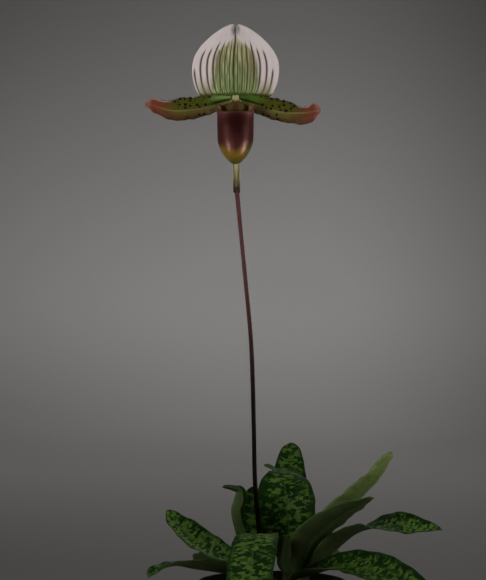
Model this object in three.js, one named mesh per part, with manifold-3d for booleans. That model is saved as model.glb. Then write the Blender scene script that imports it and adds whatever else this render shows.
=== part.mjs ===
// A paphiopedilum (slipper orchid) in bloom, in a plain 90 mm pot.
// Millimetres, +Z up, origin at the centre of the pot's underside. The flower faces -Y.
import * as THREE from "three";
import { mergeVertices } from "three/addons/utils/BufferGeometryUtils.js";
import Module from "manifold-3d";

const wasm = await Module();
wasm.setup();

// ---------------------------------------------------------------- driving dimensions
const PLAY = 0.3; // clearance between neighbouring pieces

const POT = {
  height: 83,
  baseRadius: 32.5,
  rimRadius: 45,
  wall: 1.4,
  floor: 2.4,
  band: 9,
  bandStep: 2.2,
  edge: 0.8,
};
const POT_SEGMENTS = 36;
const DRAIN = { count: 6, radius: 3, ring: 21, segments: 12 };

const GROWTHS = {
  flowering: [-6, 2],
  right: [14, 8],
  young: [9, -13],
};
const BASE_Z = 76; // the level on which the leaf bases stand, below the top of the bark
const SHEATH = { core: 1.9, thickness: 1.0, clearance: 0.5, top: 87, topStep: 1.2 };

const LEAF_THICKNESS = 1.0;
const KEEL = 0.7; // how far the midrib stands out of the underside
const LEAF_COLUMNS = 6;
const LEAF_STEPS = 2; // rows for each stretch between two stations

const FLOWER = new THREE.Vector3(-21.9, 0, 371.5); // the middle of the flower
const TEPAL_THICKNESS = 0.8;

const COLORS = {
  pot: 0x1b1916,
  bark: 0x4a3524,
  root: 0x6b5a3c,
  leaf: 0x4d6a3a,
  leafYoung: 0x3c5a30,
  scape: 0x4b2a2c,
  bract: 0xa9b37e,
  ovary: 0x7f8a58,
  sepal: 0xd9dcc0,
  petal: 0x6e5a2e,
  pouch: 0x4a1a17,
  column: 0xbfb98a,
};

// ---------------------------------------------------------------- general shapes
const vec = (x, y, z) => new THREE.Vector3(x, y, z);
const radians = (degrees) => (degrees * Math.PI) / 180;
const smooth = (edge0, edge1, x) => THREE.MathUtils.smoothstep(x, edge0, edge1);

// A repeatable random number generator.
function randomFrom(seed) {
  let state = seed;
  return () => {
    state = (state * 1664525 + 1013904223) % 4294967296;
    return state / 4294967296;
  };
}

// A smooth curve through rows of numbers, by Catmull and Rom's rule; t runs from 0 to 1.
function spline(rows, t) {
  const place = Math.min(Math.max(t, 0), 1) * (rows.length - 1);
  const i = Math.min(Math.floor(place), rows.length - 2);
  const f = place - i;
  const b = rows[i];
  const c = rows[i + 1];
  const a = rows[i - 1] ?? b.map((value, k) => 2 * value - c[k]);
  const d = rows[i + 2] ?? c.map((value, k) => 2 * value - b[k]);
  return b.map(
    (_, k) =>
      b[k] +
      0.5 * f * (c[k] - a[k] +
        f * (2 * a[k] - 5 * b[k] + 4 * c[k] - d[k] +
          f * (3 * (b[k] - c[k]) + d[k] - a[k]))),
  );
}

function geometryFrom(points, triangles) {
  const geometry = new THREE.BufferGeometry();
  geometry.setAttribute(
    "position",
    new THREE.Float32BufferAttribute(points.flatMap((p) => [p.x, p.y, p.z]), 3),
  );
  geometry.setIndex(triangles.flat());
  return geometry;
}

// A closed body through rings of equally many points, with a fan over each end.
function loft(rings) {
  const sides = rings[0].length;
  const points = rings.flat();
  const triangles = [];
  for (let r = 0; r + 1 < rings.length; r++) {
    for (let s = 0; s < sides; s++) {
      const a = r * sides + s;
      const b = r * sides + ((s + 1) % sides);
      triangles.push([a, b, b + sides], [a, b + sides, a + sides]);
    }
  }
  const middle = (ring) =>
    ring.reduce((sum, p) => sum.add(p), vec(0, 0, 0)).multiplyScalar(1 / sides);
  const last = (rings.length - 1) * sides;
  points.push(middle(rings[0]), middle(rings[rings.length - 1]));
  for (let s = 0; s < sides; s++) {
    const next = (s + 1) % sides;
    triangles.push([points.length - 2, next, s]);
    triangles.push([points.length - 1, last + s, last + next]);
  }
  return geometryFrom(points, triangles);
}

// A ring of points round a centre, in the plane of two unit vectors.
function ring(centre, across, along, radius, sides) {
  return Array.from({ length: sides }, (_, s) => {
    const angle = (2 * Math.PI * s) / sides;
    return centre
      .clone()
      .addScaledVector(across, radius * Math.cos(angle))
      .addScaledVector(along, radius * Math.sin(angle));
  });
}

// A round rod through stations [x, y, z, radius].
function rod(stations, sides, steps) {
  const rows = (stations.length - 1) * steps;
  const rings = [];
  let across = vec(1, 0.3, 0.1); // carried from ring to ring, so that the rod doesn't twist
  for (let r = 0; r <= rows; r++) {
    const t = r / rows;
    const [x, y, z, radius] = spline(stations, t);
    const before = spline(stations, t - 0.01);
    const after = spline(stations, t + 0.01);
    const tangent = vec(after[0] - before[0], after[1] - before[1], after[2] - before[2]).normalize();
    across = across.clone().addScaledVector(tangent, -across.dot(tangent)).normalize();
    rings.push(ring(vec(x, y, z), across, tangent.clone().cross(across), radius, sides));
  }
  return loft(rings);
}

// A body turned round the Z axis from a profile [radius, z] that starts and ends on the axis.
function turned(profile, segments) {
  const points = profile.map(([radius, z]) => new THREE.Vector2(radius, z));
  return new THREE.LatheGeometry(points, segments).rotateX(Math.PI / 2);
}

// A thin blade. surface(u, t) gives its upper face, u from -1 to 1 across and t from 0 to 1 along;
// thickness(u, t) is measured downwards from it. Both faces are split along the same diagonals.
function blade(surface, thickness, columns, rows) {
  const upper = [];
  const lower = [];
  const step = 1e-3;
  for (let j = 0; j <= rows; j++) {
    for (let i = 0; i <= columns; i++) {
      const u = (2 * i) / columns - 1;
      const t = j / rows;
      const point = surface(u, t);
      const across = surface(Math.min(u + step, 1), t).sub(surface(Math.max(u - step, -1), t));
      const along = surface(u, Math.min(t + step, 1)).sub(surface(u, Math.max(t - step, 0)));
      const normal = across.cross(along).normalize();
      upper.push(point);
      lower.push(point.clone().addScaledVector(normal, -thickness(u, t)));
    }
  }
  const at = (i, j) => j * (columns + 1) + i;
  const under = upper.length;
  const triangles = [];
  const quad = (a, b, c, d) => triangles.push([a, b, c], [a, c, d]);
  for (let j = 0; j < rows; j++) {
    for (let i = 0; i < columns; i++) {
      const [a, b, c, d] = [at(i, j), at(i + 1, j), at(i + 1, j + 1), at(i, j + 1)];
      quad(a, b, c, d);
      triangles.push([under + a, under + c, under + b], [under + a, under + d, under + c]);
    }
    quad(at(0, j + 1), under + at(0, j + 1), under + at(0, j), at(0, j));
    quad(at(columns, j), under + at(columns, j), under + at(columns, j + 1), at(columns, j + 1));
  }
  for (let i = 0; i < columns; i++) {
    quad(at(i, 0), under + at(i, 0), under + at(i + 1, 0), at(i + 1, 0));
    quad(at(i + 1, rows), under + at(i + 1, rows), under + at(i, rows), at(i, rows));
  }
  return geometryFrom([...upper, ...lower], triangles);
}

// ---------------------------------------------------------------- joins and cuts
function solid(geometry) {
  const bare = geometry.clone();
  bare.deleteAttribute("normal");
  bare.deleteAttribute("uv");
  const merged = mergeVertices(bare, 1e-4);
  const vertProperties = new Float32Array(merged.attributes.position.array);
  const made = (triVerts) =>
    new wasm.Manifold(new wasm.Mesh({ numProp: 3, vertProperties, triVerts }));
  const faces = new Uint32Array(merged.index.array);
  const first = made(faces);
  if (first.volume() > 0) return first;
  for (let i = 0; i < faces.length; i += 3) {
    [faces[i + 1], faces[i + 2]] = [faces[i + 2], faces[i + 1]];
  }
  return made(faces);
}

function geometryOf(body) {
  const mesh = body.getMesh();
  const geometry = new THREE.BufferGeometry();
  const positions = new Float32Array(mesh.numVert * 3);
  for (let i = 0; i < mesh.numVert; i++) {
    positions.set(mesh.vertProperties.subarray(i * mesh.numProp, i * mesh.numProp + 3), i * 3);
  }
  geometry.setAttribute("position", new THREE.BufferAttribute(positions, 3));
  geometry.setIndex(new THREE.BufferAttribute(new Uint32Array(mesh.triVerts), 1));
  return geometry;
}

const joined = (geometries) => geometries.map(solid).reduce((sum, body) => sum.add(body));

// ---------------------------------------------------------------- pot
// The inner radii of the pot, below the rim band and at its floor.
const SHOULDER = POT.rimRadius - POT.bandStep - POT.wall;
const FOOT = POT.baseRadius - POT.wall;

function innerRadius(z) {
  const share = (z - POT.floor) / (POT.height - POT.band - POT.floor);
  return FOOT + (SHOULDER - FOOT) * share;
}

function potGeometry() {
  const { height, baseRadius, rimRadius, wall, band, floor, edge } = POT;
  const body = turned(
    [
      [0, 0],
      [baseRadius - edge, 0],
      [baseRadius, edge],
      [SHOULDER + wall, height - band],
      [rimRadius - edge / 2, height - band],
      [rimRadius, height - edge],
      [rimRadius - edge, height],
      [rimRadius - wall, height],
      [rimRadius - wall - edge, height - 2 * band / 3],
      [SHOULDER, height - band],
      [FOOT, floor],
      [0, floor],
    ],
    POT_SEGMENTS,
  );
  let pot = solid(body);
  for (let i = 0; i < DRAIN.count; i++) {
    const angle = (2 * Math.PI * i) / DRAIN.count;
    const hole = new THREE.CylinderGeometry(DRAIN.radius, DRAIN.radius, 4 * floor, DRAIN.segments)
      .rotateX(Math.PI / 2)
      .translate(DRAIN.ring * Math.cos(angle), DRAIN.ring * Math.sin(angle), 0);
    pot = pot.subtract(solid(hole));
  }
  return geometryOf(pot);
}

// ---------------------------------------------------------------- rhizome and roots
const RHIZOME_Z = 70;
const ROOTS = [
  { from: GROWTHS.flowering, azimuth: 200, reach: 23, bottom: 20 },
  { from: GROWTHS.flowering, azimuth: 120, reach: 21, bottom: 34 },
  { from: GROWTHS.right, azimuth: 60, reach: 12, bottom: 16 },
  { from: GROWTHS.right, azimuth: -10, reach: 12, bottom: 40 },
  { from: GROWTHS.young, azimuth: -60, reach: 12, bottom: 26 },
  { from: GROWTHS.young, azimuth: -130, reach: 16, bottom: 44 },
];

// extra widens every part, for the room that the bark leaves round it.
function rhizomeSolid(extra) {
  const stubTop = { flowering: BASE_Z - PLAY, right: BASE_Z + 16, young: BASE_Z + 14 };
  const pieces = Object.entries(GROWTHS).map(([name, [x, y]]) =>
    rod(
      [
        [x, y, RHIZOME_Z - 6 - extra, 2.5 + extra],
        [x, y, RHIZOME_Z, 4.5 + extra],
        [x, y, BASE_Z - 2, 2.4 + extra],
        [x, y, stubTop[name] + extra, (name === "flowering" ? 1.8 : 1.2) + extra],
      ],
      8,
      2,
    ),
  );
  const links = [["flowering", "right"], ["right", "young"]];
  for (const [from, to] of links) {
    const [ax, ay] = GROWTHS[from];
    const [bx, by] = GROWTHS[to];
    pieces.push(
      rod(
        [
          [ax, ay, RHIZOME_Z, 3 + extra],
          [(ax + bx) / 2, (ay + by) / 2, RHIZOME_Z - 1.5, 3 + extra],
          [bx, by, RHIZOME_Z, 3 + extra],
        ],
        8,
        1,
      ),
    );
  }
  for (const { from, azimuth, reach, bottom } of ROOTS) {
    const [x, y] = from;
    const dx = Math.cos(radians(azimuth));
    const dy = Math.sin(radians(azimuth));
    const depth = RHIZOME_Z - bottom;
    pieces.push(
      rod(
        [
          [x, y, RHIZOME_Z, 1.5 + extra],
          [x + dx * reach * 0.6, y + dy * reach * 0.6, RHIZOME_Z - depth * 0.25, 1.5 + extra],
          [x + dx * reach, y + dy * reach, RHIZOME_Z - depth * 0.65, 1.4 + extra],
          [x + dx * reach * 0.9, y + dy * reach * 0.9, bottom - extra, 1.1 + extra],
        ],
        6,
        1,
      ),
    );
  }
  return joined(pieces);
}

// ---------------------------------------------------------------- bark
const BARK = { bottom: POT.floor + PLAY, side: 71, edge: 72.5, crown: 82, segments: 30, rings: 6 };
const CHIPS = { seed: 11, count: 90, lift: 2.2, slope: 0.5 };
const WELL = { radius: 9.8, depth: 20, segments: 16 }; // in the bark, round each growth's leaf bases

// The top of the bark: a low dome of chips, each a small tilted facet.
function barkHeights() {
  const random = randomFrom(CHIPS.seed);
  const chips = Array.from({ length: CHIPS.count }, () => {
    const radius = SHOULDER * Math.sqrt(random());
    const angle = 2 * Math.PI * random();
    return {
      x: radius * Math.cos(angle),
      y: radius * Math.sin(angle),
      lift: CHIPS.lift * (random() - 0.5),
      slopeX: CHIPS.slope * (random() - 0.5),
      slopeY: CHIPS.slope * (random() - 0.5),
    };
  });
  return (x, y) => {
    const distance = (chip) => Math.hypot(x - chip.x, y - chip.y);
    const chip = chips.reduce((near, next) => (distance(next) < distance(near) ? next : near));
    const dome = BARK.crown - (BARK.crown - BARK.edge) * (Math.hypot(x, y) / SHOULDER) ** 2;
    return dome + chip.lift + chip.slopeX * (x - chip.x) + chip.slopeY * (y - chip.y);
  };
}

function barkGeometry() {
  const heights = barkHeights();
  const level = (radius, z) =>
    Array.from({ length: BARK.segments }, (_, s) => {
      const angle = (2 * Math.PI * s) / BARK.segments;
      const x = radius * Math.cos(angle);
      const y = radius * Math.sin(angle);
      return vec(x, y, z ?? heights(x, y));
    });
  const rings = [
    level(innerRadius(BARK.bottom) - PLAY, BARK.bottom),
    level(innerRadius(BARK.side) - PLAY, BARK.side),
  ];
  for (let r = 0; r < BARK.rings; r++) {
    rings.push(level((innerRadius(BARK.side) - 2 * PLAY) * (1 - r / BARK.rings)));
  }
  let bark = solid(loft(rings));
  for (const [x, y] of Object.values(GROWTHS)) {
    const well = new THREE.CylinderGeometry(WELL.radius, WELL.radius, WELL.depth, WELL.segments)
      .rotateX(Math.PI / 2)
      .translate(x, y, BASE_Z - PLAY + WELL.depth / 2);
    bark = bark.subtract(solid(well));
  }
  bark = bark.subtract(rhizomeSolid(PLAY));
  const pieces = bark.decompose();
  return geometryOf(pieces.reduce((big, next) => (next.volume() > big.volume() ? next : big)));
}

// ---------------------------------------------------------------- leaves
// Each leaf rises from its growth as an upright sheath at an azimuth, in one of the nested rings
// (0 is the innermost), and goes on through its stations:
// [x, y, z of the midrib, half width, curl of each half in degrees, x, y, z that the face looks to].
const LEAVES = [
  {
    name: "leaf_back_upright",
    growth: "right",
    azimuth: 95,
    nest: 2,
    curl: 42,
    stations: [
      [12.9, 19.5, 95, 8.5, 34, 0, -1, 0.4],
      [12, 31, 110, 12.5, 26, 0, -0.9, 0.5],
      [11.4, 44, 128, 12.5, 22, -0.05, -0.85, 0.5],
      [11.9, 55.5, 144.5, 9.8, 18, -0.05, -0.85, 0.5],
      [12.9, 63.5, 156.5, 6.2, 14, -0.05, -0.85, 0.5],
      [13.4, 66.5, 161, 1.4, 10, -0.05, -0.85, 0.5],
    ],
  },
  {
    name: "leaf_back_broad",
    growth: "right",
    azimuth: 108,
    nest: 1,
    curl: 55,
    stations: [
      [11.4, 15, 98, 10, 32, 0, -1, 0.05],
      [10.6, 16.4, 112, 15.5, 22, -0.05, -1, 0.1],
      [9, 19, 125.5, 18.6, 16, -0.2, -0.95, 0.2],
      [8.2, 24, 137.2, 16, 12, -0.1, -0.75, 0.6],
      [8.6, 32, 143.4, 11.4, 8, 0.1, -0.35, 0.95],
      [6.8, 41.5, 145.6, 6.8, 8, 0.1, -0.2, 1],
      [1.8, 50.5, 146.8, 3, 8, 0.1, -0.1, 1],
      [-4, 57.5, 148, 1, 6, 0.1, -0.1, 1],
    ],
  },
  {
    name: "leaf_left_channelled",
    growth: "flowering",
    azimuth: 183,
    nest: 0,
    curl: 75,
    stations: [
      [-12.5, 2.4, 95, 5.6, 60, 1, 0, 0.5],
      [-17.8, 2.6, 105, 8.6, 50, 1, 0, 0.3],
      [-20.6, 2.8, 115, 12.2, 46, 1, -0.05, 0.1],
      [-22.7, 2.7, 125, 13.5, 44, 1, -0.1, -0.1],
      [-20.6, 3.1, 132.4, 12, 42, 0.95, -0.1, -0.3],
      [-19.6, 3.4, 136.8, 9.5, 34, 0.7, -0.05, 0.6],
      [-23.4, 3.5, 138.8, 6, 20, 0.1, 0, 1],
      [-29.4, 3.5, 139.8, 1.2, 10, 0, 0, 1],
    ],
  },
  {
    name: "leaf_left_upper",
    growth: "flowering",
    azimuth: 160,
    nest: 2,
    curl: 52,
    stations: [
      [-18, 6, 91, 9.5, 36, 0.6, -0.2, 0.8],
      [-30.3, 9, 97, 11.4, 28, 0.45, -0.4, 0.85],
      [-43.4, 12, 104.4, 12.8, 22, 0.4, -0.45, 0.8],
      [-55.4, 15.5, 113.8, 10.2, 20, 0.4, -0.5, 0.75],
      [-61.2, 18, 120.6, 5.2, 16, 0.4, -0.5, 0.75],
      [-63.4, 19, 123.6, 1.2, 12, 0.4, -0.5, 0.75],
    ],
  },
  {
    name: "leaf_left_lower",
    growth: "flowering",
    azimuth: 222,
    nest: 3,
    curl: 50,
    stations: [
      [-19, -8, 88.5, 11, 34, 0.3, 0.35, 0.9],
      [-34, -15, 92.4, 14.5, 26, 0.15, 0.36, 0.93],
      [-46.5, -22.5, 95.2, 13, 22, 0.05, 0.34, 0.95],
      [-56, -29, 98, 8, 16, 0, 0.14, 1],
      [-64, -35, 97.2, 5, 12, -0.2, 0, 1],
      [-69.5, -39.5, 94.4, 4.6, 14, -0.35, -0.5, 0.75],
      [-72.3, -42, 91.9, 1, 12, -0.4, -0.6, 0.65],
    ],
  },
  {
    name: "leaf_front_centre",
    growth: "flowering",
    azimuth: 262,
    nest: 1,
    curl: 55,
    stations: [
      [-7.4, -8.6, 101, 7.2, 36, 0, 1, 0.6],
      [-8.2, -20, 112, 11, 14, 0, 0.4, 1],
      [-9.2, -35, 115.4, 12.4, -8, 0, -0.1, 1],
      [-11.2, -49, 110, 13.4, -8, -0.05, -0.45, 0.9],
      [-13.2, -62, 99, 13.4, 8, -0.05, -0.75, 0.65],
      [-14.8, -72.5, 84.5, 10.5, 14, -0.05, -0.85, 0.5],
      [-15.4, -79, 70, 1.2, 12, -0.05, -0.9, 0.4],
    ],
  },
  {
    name: "leaf_back_left",
    growth: "flowering",
    azimuth: 100,
    nest: 1,
    curl: 48,
    stations: [
      [-10, 13.5, 98, 7.2, 38, 0.15, -1, 0.2],
      [-12.4, 21.5, 112, 10, 28, 0.2, -0.9, 0.35],
      [-11.8, 27, 125, 9, 22, 0.2, -0.9, 0.45],
      [-10.8, 31.5, 133.5, 4.2, 18, 0.1, -0.9, 0.45],
      [-10.3, 33, 136.4, 1, 12, 0, -0.9, 0.45],
    ],
  },
  {
    name: "leaf_back_low",
    growth: "flowering",
    azimuth: 124,
    nest: 3,
    curl: 38,
    stations: [
      [-15, 19, 88.5, 9.5, 28, 0.1, -0.6, 0.8],
      [-23.5, 33, 92.5, 14, 22, 0.1, -0.2, 1],
      [-32, 48, 93, 14.5, 20, -0.1, 0.1, 1],
      [-40, 61, 89.5, 10.5, 18, -0.2, 0.3, 0.95],
      [-46, 71.5, 83.5, 1.2, 14, -0.2, 0.5, 0.9],
    ],
  },
  {
    name: "leaf_right_long",
    growth: "right",
    azimuth: -33,
    nest: 0,
    curl: 75,
    stations: [
      [18, 5.2, 97, 6.4, 62, -0.6, 0.7, 0.35],
      [26, 1.8, 108.5, 10.5, 48, -0.6, 0.65, 0.5],
      [37.6, -4, 121, 12.5, 38, -0.6, 0.6, 0.6],
      [50, -11.5, 134.4, 12, 32, -0.6, 0.55, 0.65],
      [61.4, -18.6, 147.8, 9.4, 26, -0.6, 0.5, 0.7],
      [67.6, -22.8, 158.6, 5.6, 18, -0.6, 0.5, 0.7],
      [69, -23.8, 162.4, 1.6, 12, -0.6, 0.5, 0.7],
    ],
  },
  {
    name: "leaf_right_front",
    growth: "right",
    azimuth: -58,
    nest: 2,
    curl: 52,
    stations: [
      [18.5, -2, 96, 9, 44, -0.35, 0.9, 0.3],
      [24, -11, 109, 13, 34, -0.4, 0.75, 0.5],
      [34.6, -22.5, 120.4, 14, 28, -0.4, 0.65, 0.65],
      [46.4, -34, 130.4, 10.6, 24, -0.4, 0.6, 0.7],
      [57.6, -44, 138, 2.4, 14, -0.4, 0.55, 0.75],
    ],
  },
  {
    name: "leaf_right_twisted",
    growth: "right",
    azimuth: -25,
    nest: 3,
    curl: 52,
    stations: [
      [29, 1.5, 93, 10.5, 38, -0.5, 0.35, 0.75],
      [40.5, -5, 107, 13.5, 30, -0.5, 0.45, 0.75],
      [54.5, -12, 116.6, 11.5, 24, -0.3, 0.2, 0.95],
      [69, -19, 119.4, 11.6, 22, 0, -0.4, 0.92],
      [84, -25.5, 118.8, 7.6, 20, 0.05, -0.6, 0.78],
      [98.5, -32, 118.2, 1, 14, 0.05, -0.6, 0.8],
    ],
  },
  {
    name: "leaf_back_right",
    growth: "right",
    azimuth: 46,
    nest: 4,
    curl: 30,
    stations: [
      [24, 20.5, 88.5, 8.6, 28, -0.5, -0.4, 0.8],
      [34, 35, 93, 14, 24, -0.2, -0.2, 1],
      [46, 50, 92.5, 15, 22, 0, 0, 1],
      [57, 63.5, 86, 11, 20, 0.25, 0.2, 0.95],
      [66, 74, 76.5, 1.2, 14, 0.4, 0.4, 0.8],
    ],
  },
  {
    name: "leaf_young_folded",
    growth: "young",
    azimuth: -120,
    nest: 0,
    curl: 78,
    stations: [
      [8, -15.6, 90.5, 3.8, 78, 0.48, 0.88, 0],
      [6, -15.9, 96, 5.2, 72, 0.4, 0.92, 0],
      [6.2, -16.4, 103, 5, 66, 0.3, 0.95, 0.1],
      [6.8, -17.6, 109, 3.6, 60, 0.2, 1, 0.2],
      [7.4, -18.8, 112.8, 0.9, 40, 0.2, 1, 0.3],
    ],
  },
  {
    name: "leaf_front_right",
    growth: "young",
    azimuth: -28,
    nest: 1,
    curl: 60,
    stations: [
      [20, -19, 89.5, 11, 40, -0.5, 0.2, 0.85],
      [34, -27, 95.5, 15.5, 30, -0.2, -0.1, 1],
      [50, -36, 96.5, 16.5, 24, 0.05, -0.35, 0.95],
      [66, -45, 92, 16, 22, 0.2, -0.5, 0.85],
      [81, -54, 83, 13.5, 20, 0.35, -0.55, 0.75],
      [92, -60.5, 72, 8, 18, 0.4, -0.55, 0.7],
      [98, -64, 63, 1.2, 12, 0.4, -0.55, 0.7],
    ],
  },
];

function leafRows({ growth, azimuth, nest, curl, stations }) {
  const [gx, gy] = GROWTHS[growth];
  const radius = SHEATH.core + SHEATH.clearance + nest * (SHEATH.thickness + SHEATH.clearance);
  const dx = Math.cos(radians(azimuth));
  const dy = Math.sin(radians(azimuth));
  const sheath = (z) => [gx + radius * dx, gy + radius * dy, z, radius * radians(curl), curl, -dx, -dy, 0];
  return [sheath(BASE_Z), sheath(SHEATH.top - nest * SHEATH.topStep), ...stations];
}

// The upper face of a leaf: an arc across, whose halves curl up beside the midrib.
function leafSurface(rows) {
  return (u, t) => {
    const [x, y, z, half, curl, nx, ny, nz] = spline(rows, t);
    const before = spline(rows, t - 0.004);
    const after = spline(rows, t + 0.004);
    const tangent = vec(after[0] - before[0], after[1] - before[1], after[2] - before[2]).normalize();
    const facing = vec(nx, ny, nz);
    facing.addScaledVector(tangent, -facing.dot(tangent)).normalize();
    const side = tangent.clone().cross(facing);
    const bend = radians(Math.abs(curl) < 0.5 ? 0.5 : curl); // a negative curl lets both halves droop
    return vec(x, y, z)
      .addScaledVector(side, (half / bend) * Math.sin(u * bend))
      .addScaledVector(facing, (half / bend) * (1 - Math.cos(u * bend)));
  };
}

function leafGeometry(leaf) {
  const rows = leafRows(leaf);
  const keel = (u, t) => KEEL * smooth(0.2, 0.35, t) * Math.max(0, 1 - 4 * Math.abs(u));
  const thickness = (u, t) => LEAF_THICKNESS + keel(u, t);
  return blade(leafSurface(rows), thickness, LEAF_COLUMNS, (rows.length - 1) * LEAF_STEPS);
}

// ---------------------------------------------------------------- flower stalk, ovary and bract
// Stations of the rods: [x, y, z, radius].
const SCAPE = [
  [-6, 2, BASE_Z, 1.8],
  [-6.4, 2.1, 96, 1.7],
  [-8, 2.6, 117, 1.45],
  [-10.1, 3.4, 140, 1.35],
  [-10.9, 4.6, 175, 1.3],
  [-11.6, 5.6, 204, 1.3],
  [-12.8, 6.6, 230, 1.25],
  [-15.8, 8, 262, 1.2],
  [-18.7, 9.1, 292, 1.2],
  [-21.3, 10, 319.2, 1.4],
];
const OVARY = [
  [-21.3, 10, 319.5, 1.4],
  [-21.4, 12, 332, 1.6],
  [-21.6, 14.2, 346, 2.1],
  [-21.8, 13.4, 358, 2.6],
  [-21.9, 9.4, 367, 2.9],
  [-21.9, 4.6, 371.1, 2.9],
  [-21.9, 2.4, 371.5, 2.5],
];
const BRACT_THICKNESS = 0.6;
// Stations of the bract: [x, y, z of the middle, outer radius, reach to each side in degrees].
const BRACT = [
  [-21.2, 9.9, 316.5, 2.3, 150],
  [-21.35, 11, 326, 2.5, 140],
  [-21.5, 12.9, 336.5, 2.7, 105],
  [-21.6, 14.8, 345, 3.3, 30],
];

// A sheath round the stalk, open at the front, that tapers to a point behind the ovary.
function bractGeometry() {
  const surface = (u, t) => {
    const [x, y, z, radius, reach] = spline(BRACT, t);
    const angle = Math.PI / 2 + u * radians(reach);
    return vec(x + radius * Math.cos(angle), y + radius * Math.sin(angle), z);
  };
  return blade(surface, () => BRACT_THICKNESS, 10, 6);
}

// ---------------------------------------------------------------- sepals and petals
// Stations of the dorsal sepal, from the claw to the tip: [z, half width, y], seen from the flower's middle.
const DORSAL = [
  [3.3, 3.2, 4.3],
  [3.6, 12, 4.3],
  [4.4, 18.6, 4.4],
  [6.4, 22.6, 4.6],
  [10, 24.8, 4.9],
  [15, 25.9, 5.1],
  [20, 26.2, 4.9],
  [25, 25.3, 4.2],
  [29.5, 23, 3.2],
  [34, 19.6, 1.8],
  [38.3, 14.9, 0.2],
  [41.9, 9.4, -1.4],
  [44.3, 4.6, -2.5],
  [45.1, 2.4, -2.6],
];

// How far the dorsal sepal's corners drop, its midrib folds back, its tip is notched, its halves swell
// forwards and its margins cup.
const DORSAL_RELIEF = { drop: 3.2, fold: 1.6, notch: 3.4, lobes: 1.8, cup: 2.2 };

function dorsalSurface(u, t) {
  const [z, half, y] = spline(DORSAL, t);
  const near = (width) => Math.exp(-((u / width) ** 2)); // 1 on the midrib, falling off to both sides
  const drop = DORSAL_RELIEF.drop * u * u * (1 - smooth(3, 12, z));
  const fold = DORSAL_RELIEF.fold * near(0.16) * smooth(6, 40, z);
  const notch = DORSAL_RELIEF.notch * near(0.35) * smooth(41, 45, z);
  const lobes = DORSAL_RELIEF.lobes * Math.sin(Math.PI * Math.min(Math.abs(u), 1)) * smooth(8, 30, z);
  const cup = DORSAL_RELIEF.cup * u * u * smooth(3, 14, z) * (1 - 0.8 * smooth(24, 42, z));
  return FLOWER.clone().add(vec(u * half, y + fold - lobes - cup, z - drop - notch));
}

// Stations of the synsepal: [z, half width, y].
const SYNSEPAL = [
  [-4, 2.6, 3],
  [-7, 6.5, 3.6],
  [-12.5, 9, 4.8],
  [-19, 9.2, 5.8],
  [-26, 7, 6],
  [-31, 3.6, 5.2],
  [-33.5, 0.8, 4.2],
];

const SYNSEPAL_CUP = 2.4;

function synsepalSurface(u, t) {
  const [z, half, y] = spline(SYNSEPAL, t);
  return FLOWER.clone().add(vec(-u * half, y - SYNSEPAL_CUP * u * u, z));
}

// Stations of the petals, from the claw outwards: [distance from the flower's middle, depth y,
// z of the upper margin, z of the ridge, z of the lower margin, height of the ridge over the margins].
// A positive height bulges to the front, a negative one makes a hollow.
const PETALS = {
  petal_left: {
    side: -1,
    stations: [
      [2.7, 2.0, 2.7, 0.3, -2, 0.2],
      [8, 2.4, 3.4, -1.2, -5.4, 1.4],
      [13, 1.6, 3.4, -2.8, -7.4, 2.4],
      [19, 0.8, 2.4, -4.2, -9.6, 2.8],
      [26, 0.2, 1.8, -5.4, -11.4, 2.8],
      [34, -0.6, 1.2, -6, -12.2, 2.6],
      [40, -1.6, -0.6, -5.6, -11.8, 1.6],
      [45, -2.8, -0.2, -4.4, -9.4, 0.2],
      [49.6, -4.2, 0.6, -3, -7.2, -1.2],
      [53.6, -5.6, -2.2, -3.2, -4.4, -0.4],
    ],
  },
  petal_right: {
    side: 1,
    stations: [
      [2.7, 2.0, 2.7, 0.3, -2, 0.2],
      [8, 2.4, 3.6, -1.2, -5.6, 1.4],
      [13, 1.6, 3.2, -3, -8, 2.4],
      [19, 0.8, 2.2, -4.8, -10.4, 2.8],
      [26, 0.2, 0.8, -6.6, -12.6, 2.8],
      [33, -0.6, -1.2, -7.4, -13.8, 2.6],
      [39, -1.6, -4.2, -7.2, -14.8, 1.6],
      [43.6, -2.8, -4, -7, -14.2, 0.2],
      [47, -4.2, -1.8, -6.4, -12.4, -1.2],
      [50.6, -5.6, -5.4, -6.6, -8.4, -0.4],
    ],
  },
};

function petalSurface({ side, stations }) {
  return (u, t) => {
    const [x, y, top, ridge, bottom, height] = spline(stations, t);
    const across = -side * u;
    const z = across < 0 ? ridge + (top - ridge) * -across : ridge + (bottom - ridge) * across;
    return FLOWER.clone().add(vec(side * x, y + height * (u * u - 0.5), z));
  };
}

// Warts: dark beads on the front face, most of them along the upper margin and above the ridge.
// [u, t, radius], with u = 1 at the upper margin.
const WARTS = {
  petal_left: [
    [0.92, 0.545, 0.85], [0.92, 0.505, 0.8], [0.94, 0.46, 0.9], [0.7, 0.46, 0.65], [0.95, 0.382, 0.75],
    [0.87, 0.273, 0.6], [0.78, 0.6, 0.7], [0.45, 0.55, 0.7], [0.42, 0.5, 0.85], [0.14, 0.5, 0.7],
    [0.29, 0.46, 0.65], [0.3, 0.4, 0.75], [0.08, 0.375, 0.65], [0.21, 0.316, 0.75], [-0.68, 0.378, 0.6],
    [-0.76, 0.33, 0.65],
  ],
  petal_right: [
    [0.87, 0.376, 0.8], [0.9, 0.433, 0.75], [0.92, 0.489, 0.9], [0.88, 0.553, 0.75], [0.68, 0.592, 0.8],
    [0.88, 0.27, 0.6], [0.57, 0.494, 0.75], [0.38, 0.56, 0.65], [0.35, 0.45, 0.65], [0.08, 0.511, 0.95],
    [0.1, 0.46, 0.6], [0.3, 0.385, 0.7], [0.03, 0.369, 0.75], [0, 0.325, 0.65], [0.2, 0.285, 0.75],
    [-0.42, 0.424, 0.7], [-0.84, 0.433, 0.8], [-0.76, 0.347, 0.6], [-0.8, 0.289, 0.7],
  ],
};

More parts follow.
